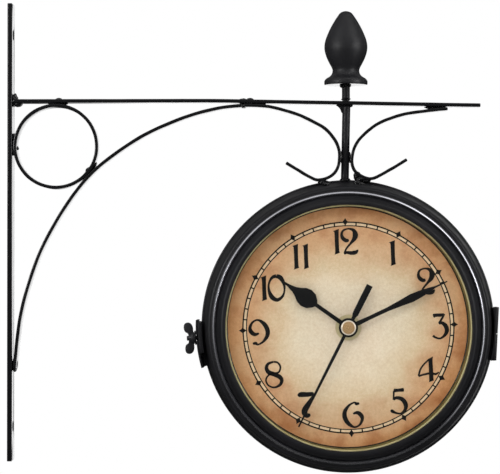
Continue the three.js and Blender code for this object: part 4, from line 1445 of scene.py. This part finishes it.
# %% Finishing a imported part


def smooth_by_angle():
    """A geometry node group: shade smooth, but keep every edge steeper than 30 degrees crisp."""
    group = bpy.data.node_groups.new("smooth_but_for_edges", "GeometryNodeTree")
    group.interface.new_socket("Geometry", in_out="INPUT", socket_type="NodeSocketGeometry")
    group.interface.new_socket("Geometry", in_out="OUTPUT", socket_type="NodeSocketGeometry")
    start = group.nodes.new("NodeGroupInput")
    end = group.nodes.new("NodeGroupOutput")
    angle = add_node(group, "GeometryNodeInputMeshEdgeAngle")
    steep = add_node(
        group,
        "FunctionNodeCompare",
        {1: np.radians(30)},
        {0: angle.outputs["Unsigned Angle"]},
        data_type="FLOAT",
        operation="GREATER_THAN",
    )
    faces = add_node(
        group,
        "GeometryNodeSetShadeSmooth",
        {"Shade Smooth": True},
        {"Geometry": start.outputs[0]},
        domain="FACE",
    )
    edges = add_node(
        group,
        "GeometryNodeSetShadeSmooth",
        {"Shade Smooth": False},
        {"Geometry": faces.outputs[0], "Selection": steep.outputs["Result"]},
        domain="EDGE",
    )
    group.links.new(edges.outputs[0], end.inputs[0])
    return group


SMOOTHING = smooth_by_angle()
print("smoothing group:", len(SMOOTHING.nodes), "nodes")

# %% Finish and eased edges


def finish_packed(node_name, finish, bevel_mm):
    """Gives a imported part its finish, eased edges and smooth shading; its own mesh isn't touched."""
    part = frame["nodes"][node_name]
    part.data.materials.clear()
    part.data.materials.append(finish)
    weld = part.modifiers.new("weld", "WELD")
    weld.merge_threshold = 2e-6
    flatten = part.modifiers.new("flatten", "DECIMATE")
    flatten.decimate_type, flatten.angle_limit = "DISSOLVE", np.radians(1.5)
    ease = part.modifiers.new("ease", "BEVEL")
    ease.width, ease.segments, ease.limit_method = bevel_mm * MM, 2, "ANGLE"
    ease.angle_limit = np.radians(40)
    smoothing = part.modifiers.new("smoothing", "NODES")
    smoothing.node_group = SMOOTHING


print(len(frame["nodes"]), "packed nodes in all")

# %% Hinge and latch
for node_name, finish, slot, bevel_mm in (
    ("hinge_front_leaf", ENAMEL, "black_enamel", 0.2),
    ("hinge_rear_leaf", ENAMEL, "black_enamel", 0.2),
    ("hinge_pin", ZINC, "plated_steel", 0.15),
    ("latch_lug", ENAMEL, "black_enamel", 0.25),
    ("latch_strap", ENAMEL, "black_enamel", 0.25),
    ("latch_stud", SATIN_PAINT, "black_enamel", 0.15),
    ("latch_washer", SATIN_PAINT, "black_enamel", 0.15),
    ("wing_nut", SATIN_PAINT, "black_enamel", 0.35),
):
    finish_packed(node_name, finish, bevel_mm)
print("hinge and latch finished")

# %% Movements
for side in ("front", "rear"):
    for part_name, finish, slot, bevel_mm in (
        ("movement_case", BLACK_ABS, "black_plastic", 0.4),
        ("movement_cover", BLACK_ABS, "black_plastic", 0.3),
        ("gasket", NITRILE, "rubber", 0.1),
        ("dial_nut", DULL_BRASS, "brass", 0.15),
        ("battery", SLEEVE, "battery_sleeve", 0.3),
        ("battery_contact", ZINC, "plated_steel", 0.05),
        ("circuit_board", BOARD, "board_green", 0.1),
        ("drive_coil", COPPER, "copper", 0.3),
        ("hour_wheel", WHITE_ACETAL, "white_plastic", 0.1),
        ("minute_arbor", BRASS, "brass", 0.08),
        ("second_arbor", ZINC, "plated_steel", 0.05),
        ("set_knob", WHITE_ACETAL, "white_plastic", 0.2),
    ):
        finish_packed(f"{side}_{part_name}", finish, bevel_mm)
    print(side, "movement finished")

# %% [markdown]
# ## Room, light and camera
#
# The photo is a product shot against white. The clock looks black because its gloss mirrors a dim
# studio with a white sheet behind the clock: it whitens the flanks of the bars. A hoop of light draws
# the white line along the bead, and a lamp at each side rounds the bud. Matt surfaces get an even,
# soft light. The floor is too far below the clock to show in its gloss.

# %% Floor
FLOOR_HALF, FLOOR_Z = 4.0, -0.8        # metres
floor_corners = [(FLOOR_HALF * x, FLOOR_HALF * y, FLOOR_Z) for x, y in ((-1, -1), (1, -1), (1, 1), (-1, 1))]
floor_mesh = bpy.data.meshes.new("floor")
floor_mesh.from_pydata(floor_corners, [], [(0, 1, 2, 3)])
floor_finish, floor_tree, floor_shader = new_finish("pale_floor", Roughness=0.8)
floor_tone = two_tones(floor_tree, blotches(floor_tree, 300), "f2f2f2", "f7f7f7")
floor_tree.links.new(floor_tone, floor_shader.inputs["Base Color"])
to_eye = add_node(floor_tree, "ShaderNodeLightPath").outputs["Is Camera Ray"]
lift = add_node(floor_tree, "ShaderNodeMath", {1: 0.14}, {0: to_eye}, operation="MULTIPLY").outputs["Value"]
floor_shader.inputs["Emission Color"].default_value = linear("ffffff")
floor_tree.links.new(lift, floor_shader.inputs["Emission Strength"])
floor_mesh.materials.append(floor_finish)
floor = bpy.data.objects.new("floor", floor_mesh)
bpy.context.scene.collection.objects.link(floor)
floor.visible_glossy = False
floor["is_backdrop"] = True
print("floor at", FLOOR_Z, "m")

# %% Room
scene = bpy.context.scene
room = bpy.data.worlds.new("room")
scene.world = room
room.use_nodes = True
tree = room.node_tree
tree.nodes.clear()
ray = add_node(tree, "ShaderNodeLightPath")
direction = add_node(tree, "ShaderNodeTexCoord").outputs["Generated"]
axes = add_node(tree, "ShaderNodeSeparateXYZ", links={0: direction})


def band(axis, low, high, blur=0.025, peak=1.0):
    """The peak where a direction's part along an axis lies between low and high, with soft edges."""
    middle, half = (low + high) / 2, (high - low) / 2
    links = {0: axes.outputs[axis]}
    offset = add_node(tree, "ShaderNodeMath", {1: middle}, links, operation="SUBTRACT").outputs["Value"]
    away = add_node(tree, "ShaderNodeMath", links={0: offset}, operation="ABSOLUTE").outputs["Value"]
    values = {"From Min": half - blur, "From Max": half + blur, "To Min": peak, "To Max": 0.0}
    return add_node(tree, "ShaderNodeMapRange", values, {"Value": away}).outputs["Result"]


def combine(operation, first, *others):
    """Several numbers joined by one Math operation."""
    for other in others:
        links = {0: first, 1: other}
        first = add_node(tree, "ShaderNodeMath", links=links, operation=operation).outputs["Value"]
    return first


print("the room is empty so far")

# %% [markdown]
# Gloss mirrors the white sheet that hangs behind the clock, in a studio that is dim, and a little
# lighter in front and above. A narrow hoop of light arches over the camera. It fades out somewhat
# below the clock's level, reaches lower on the right, and is brightest there: the leaning face of
# the bead mirrors it as one white line.

# %% What gloss mirrors
sheet = combine("MULTIPLY", band("Y", 0.5, 1.5, peak=1.2), band("X", -0.1, 0.27), band("Z", -0.2, 0.2))
in_front = add_node(
    tree,
    "ShaderNodeMapRange",
    {"From Min": -1.0, "From Max": 1.0, "To Min": 0.05, "To Max": 0.02},
    {"Value": axes.outputs["Y"]},
).outputs["Result"]
above = add_node(
    tree,
    "ShaderNodeMapRange",
    {"From Min": -0.2, "From Max": 1.0, "To Min": 0.0, "To Max": 0.2},
    {"Value": axes.outputs["Z"]},
).outputs["Result"]
up = add_node(
    tree,
    "ShaderNodeMapRange",
    {"From Min": -0.35, "From Max": 0.6, "To Min": 0.0, "To Max": 1.0},
    {"Value": axes.outputs["Z"]},
).outputs["Result"]
to_right = add_node(
    tree,
    "ShaderNodeMapRange",
    {"From Min": 0.15, "From Max": 0.6, "To Min": 1.0, "To Max": 3.4},
    {"Value": axes.outputs["X"]},
).outputs["Result"]
rightward = add_node(
    tree, "ShaderNodeVectorMath", {1: (0.8, 0, 0.6)}, {0: direction}, operation="DOT_PRODUCT"
).outputs["Value"]
flank = add_node(
    tree,
    "ShaderNodeMapRange",
    {"From Min": 0.05, "From Max": 0.6, "To Min": 0.0, "To Max": 0.5},
    {"Value": rightward},
).outputs["Result"]
hoop = combine("MULTIPLY", band("Y", -0.48, -0.34, blur=0.04), combine("MAXIMUM", up, flank), to_right)
mirrored = combine("MAXIMUM", combine("ADD", in_front, above, hoop), sheet)
print("sheet, hoop and dim studio are joined")

# %% What each kind of ray sees
seen = add_node(
    tree,
    "ShaderNodeMath",
    links={0: ray.outputs["Is Camera Ray"], 1: ray.outputs["Is Transmission Ray"]},
    operation="MAXIMUM",
).outputs["Value"]
links = {"Factor": ray.outputs["Is Glossy Ray"], "B": mirrored}
soft = add_node(tree, "ShaderNodeMix", {"A": 0.85}, links).outputs["Result"]
strength = add_node(tree, "ShaderNodeMix", {"B": 1.0}, {"Factor": seen, "A": soft}).outputs["Result"]
background = add_node(tree, "ShaderNodeBackground", {"Color": linear("ffffff")}, {"Strength": strength})
add_node(tree, "ShaderNodeOutputWorld", links={"Surface": background.outputs["Background"]})
print("world has", len(tree.nodes), "nodes")

# %% Lamps


def softbox(name, place, target, width, height, brightness, seen_by):
    """An area lamp that faces its target, all in metres; brightness is that of its face, 1 = white.

    It lights matt surfaces, or is mirrored by gloss.
    """
    light = bpy.data.lights.new(name, "AREA")
    light.shape, light.size, light.size_y = "RECTANGLE", width, height
    light.energy = brightness * np.pi * width * height
    lamp = bpy.data.objects.new(name, light)
    facing = (Vector(target) - Vector(place)).to_track_quat("-Z", "Y")
    lamp.matrix_world = Matrix.Translation(place) @ facing.to_matrix().to_4x4()
    lamp.visible_diffuse = seen_by != "gloss"
    lamp.visible_glossy = seen_by != "matt"
    lamp.visible_camera = lamp.visible_transmission = False
    scene.collection.objects.link(lamp)


CLOCK_MIDDLE = (CLOCK_X * MM, 0, CLOCK_Z * MM)
BUD_MIDDLE = (BUD_X * MM, 0, (BUD_BOTTOM + 24) * MM)
softbox("fill", (-0.3, -1.7, 0.8), CLOCK_MIDDLE, 1.4, 1.0, brightness=2.6, seen_by="matt")
softbox("left_strip", (-0.7, -0.8, 0.25), BUD_MIDDLE, 0.35, 0.35, brightness=8, seen_by="gloss")
softbox("right_strip", (1.2, -0.65, 0.2), BUD_MIDDLE, 0.35, 0.3, brightness=6, seen_by="gloss")
print("three lamps are in place")

# %% [markdown]
# The camera stands about 1.4 m off, close to level with the clock, and looks almost square on.

# %% Camera
camera_data = bpy.data.cameras.new("camera")
camera_data.lens, camera_data.sensor_width = 157.5, 36
camera = bpy.data.objects.new("camera", camera_data)
CAMERA_PLACE, CAMERA_TARGET = Vector((0.1935, -1.400, -0.0189)), Vector((0.1551, 0, -0.0042))
aim = (CAMERA_TARGET - CAMERA_PLACE).to_track_quat("-Z", "Y")
camera.matrix_world = Matrix.Translation(CAMERA_PLACE) @ aim.to_matrix().to_4x4()
scene.collection.objects.link(camera)
scene.camera = camera
scene.view_settings.view_transform = "Standard"
print("camera at", tuple(round(value, 3) for value in CAMERA_PLACE))

# %% [markdown]
# ## Sizes printed
#
# The box of the imported model and the box of what is shown are printed.

# %% Print the sizes
plain = [[[float(value) for value in corner] for corner in bounds] for bounds in (packed_box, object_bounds())]
for label, bounds in zip(("packed", "shown"), plain):
    print(label, [[round(value, 5) for value in corner] for corner in bounds])
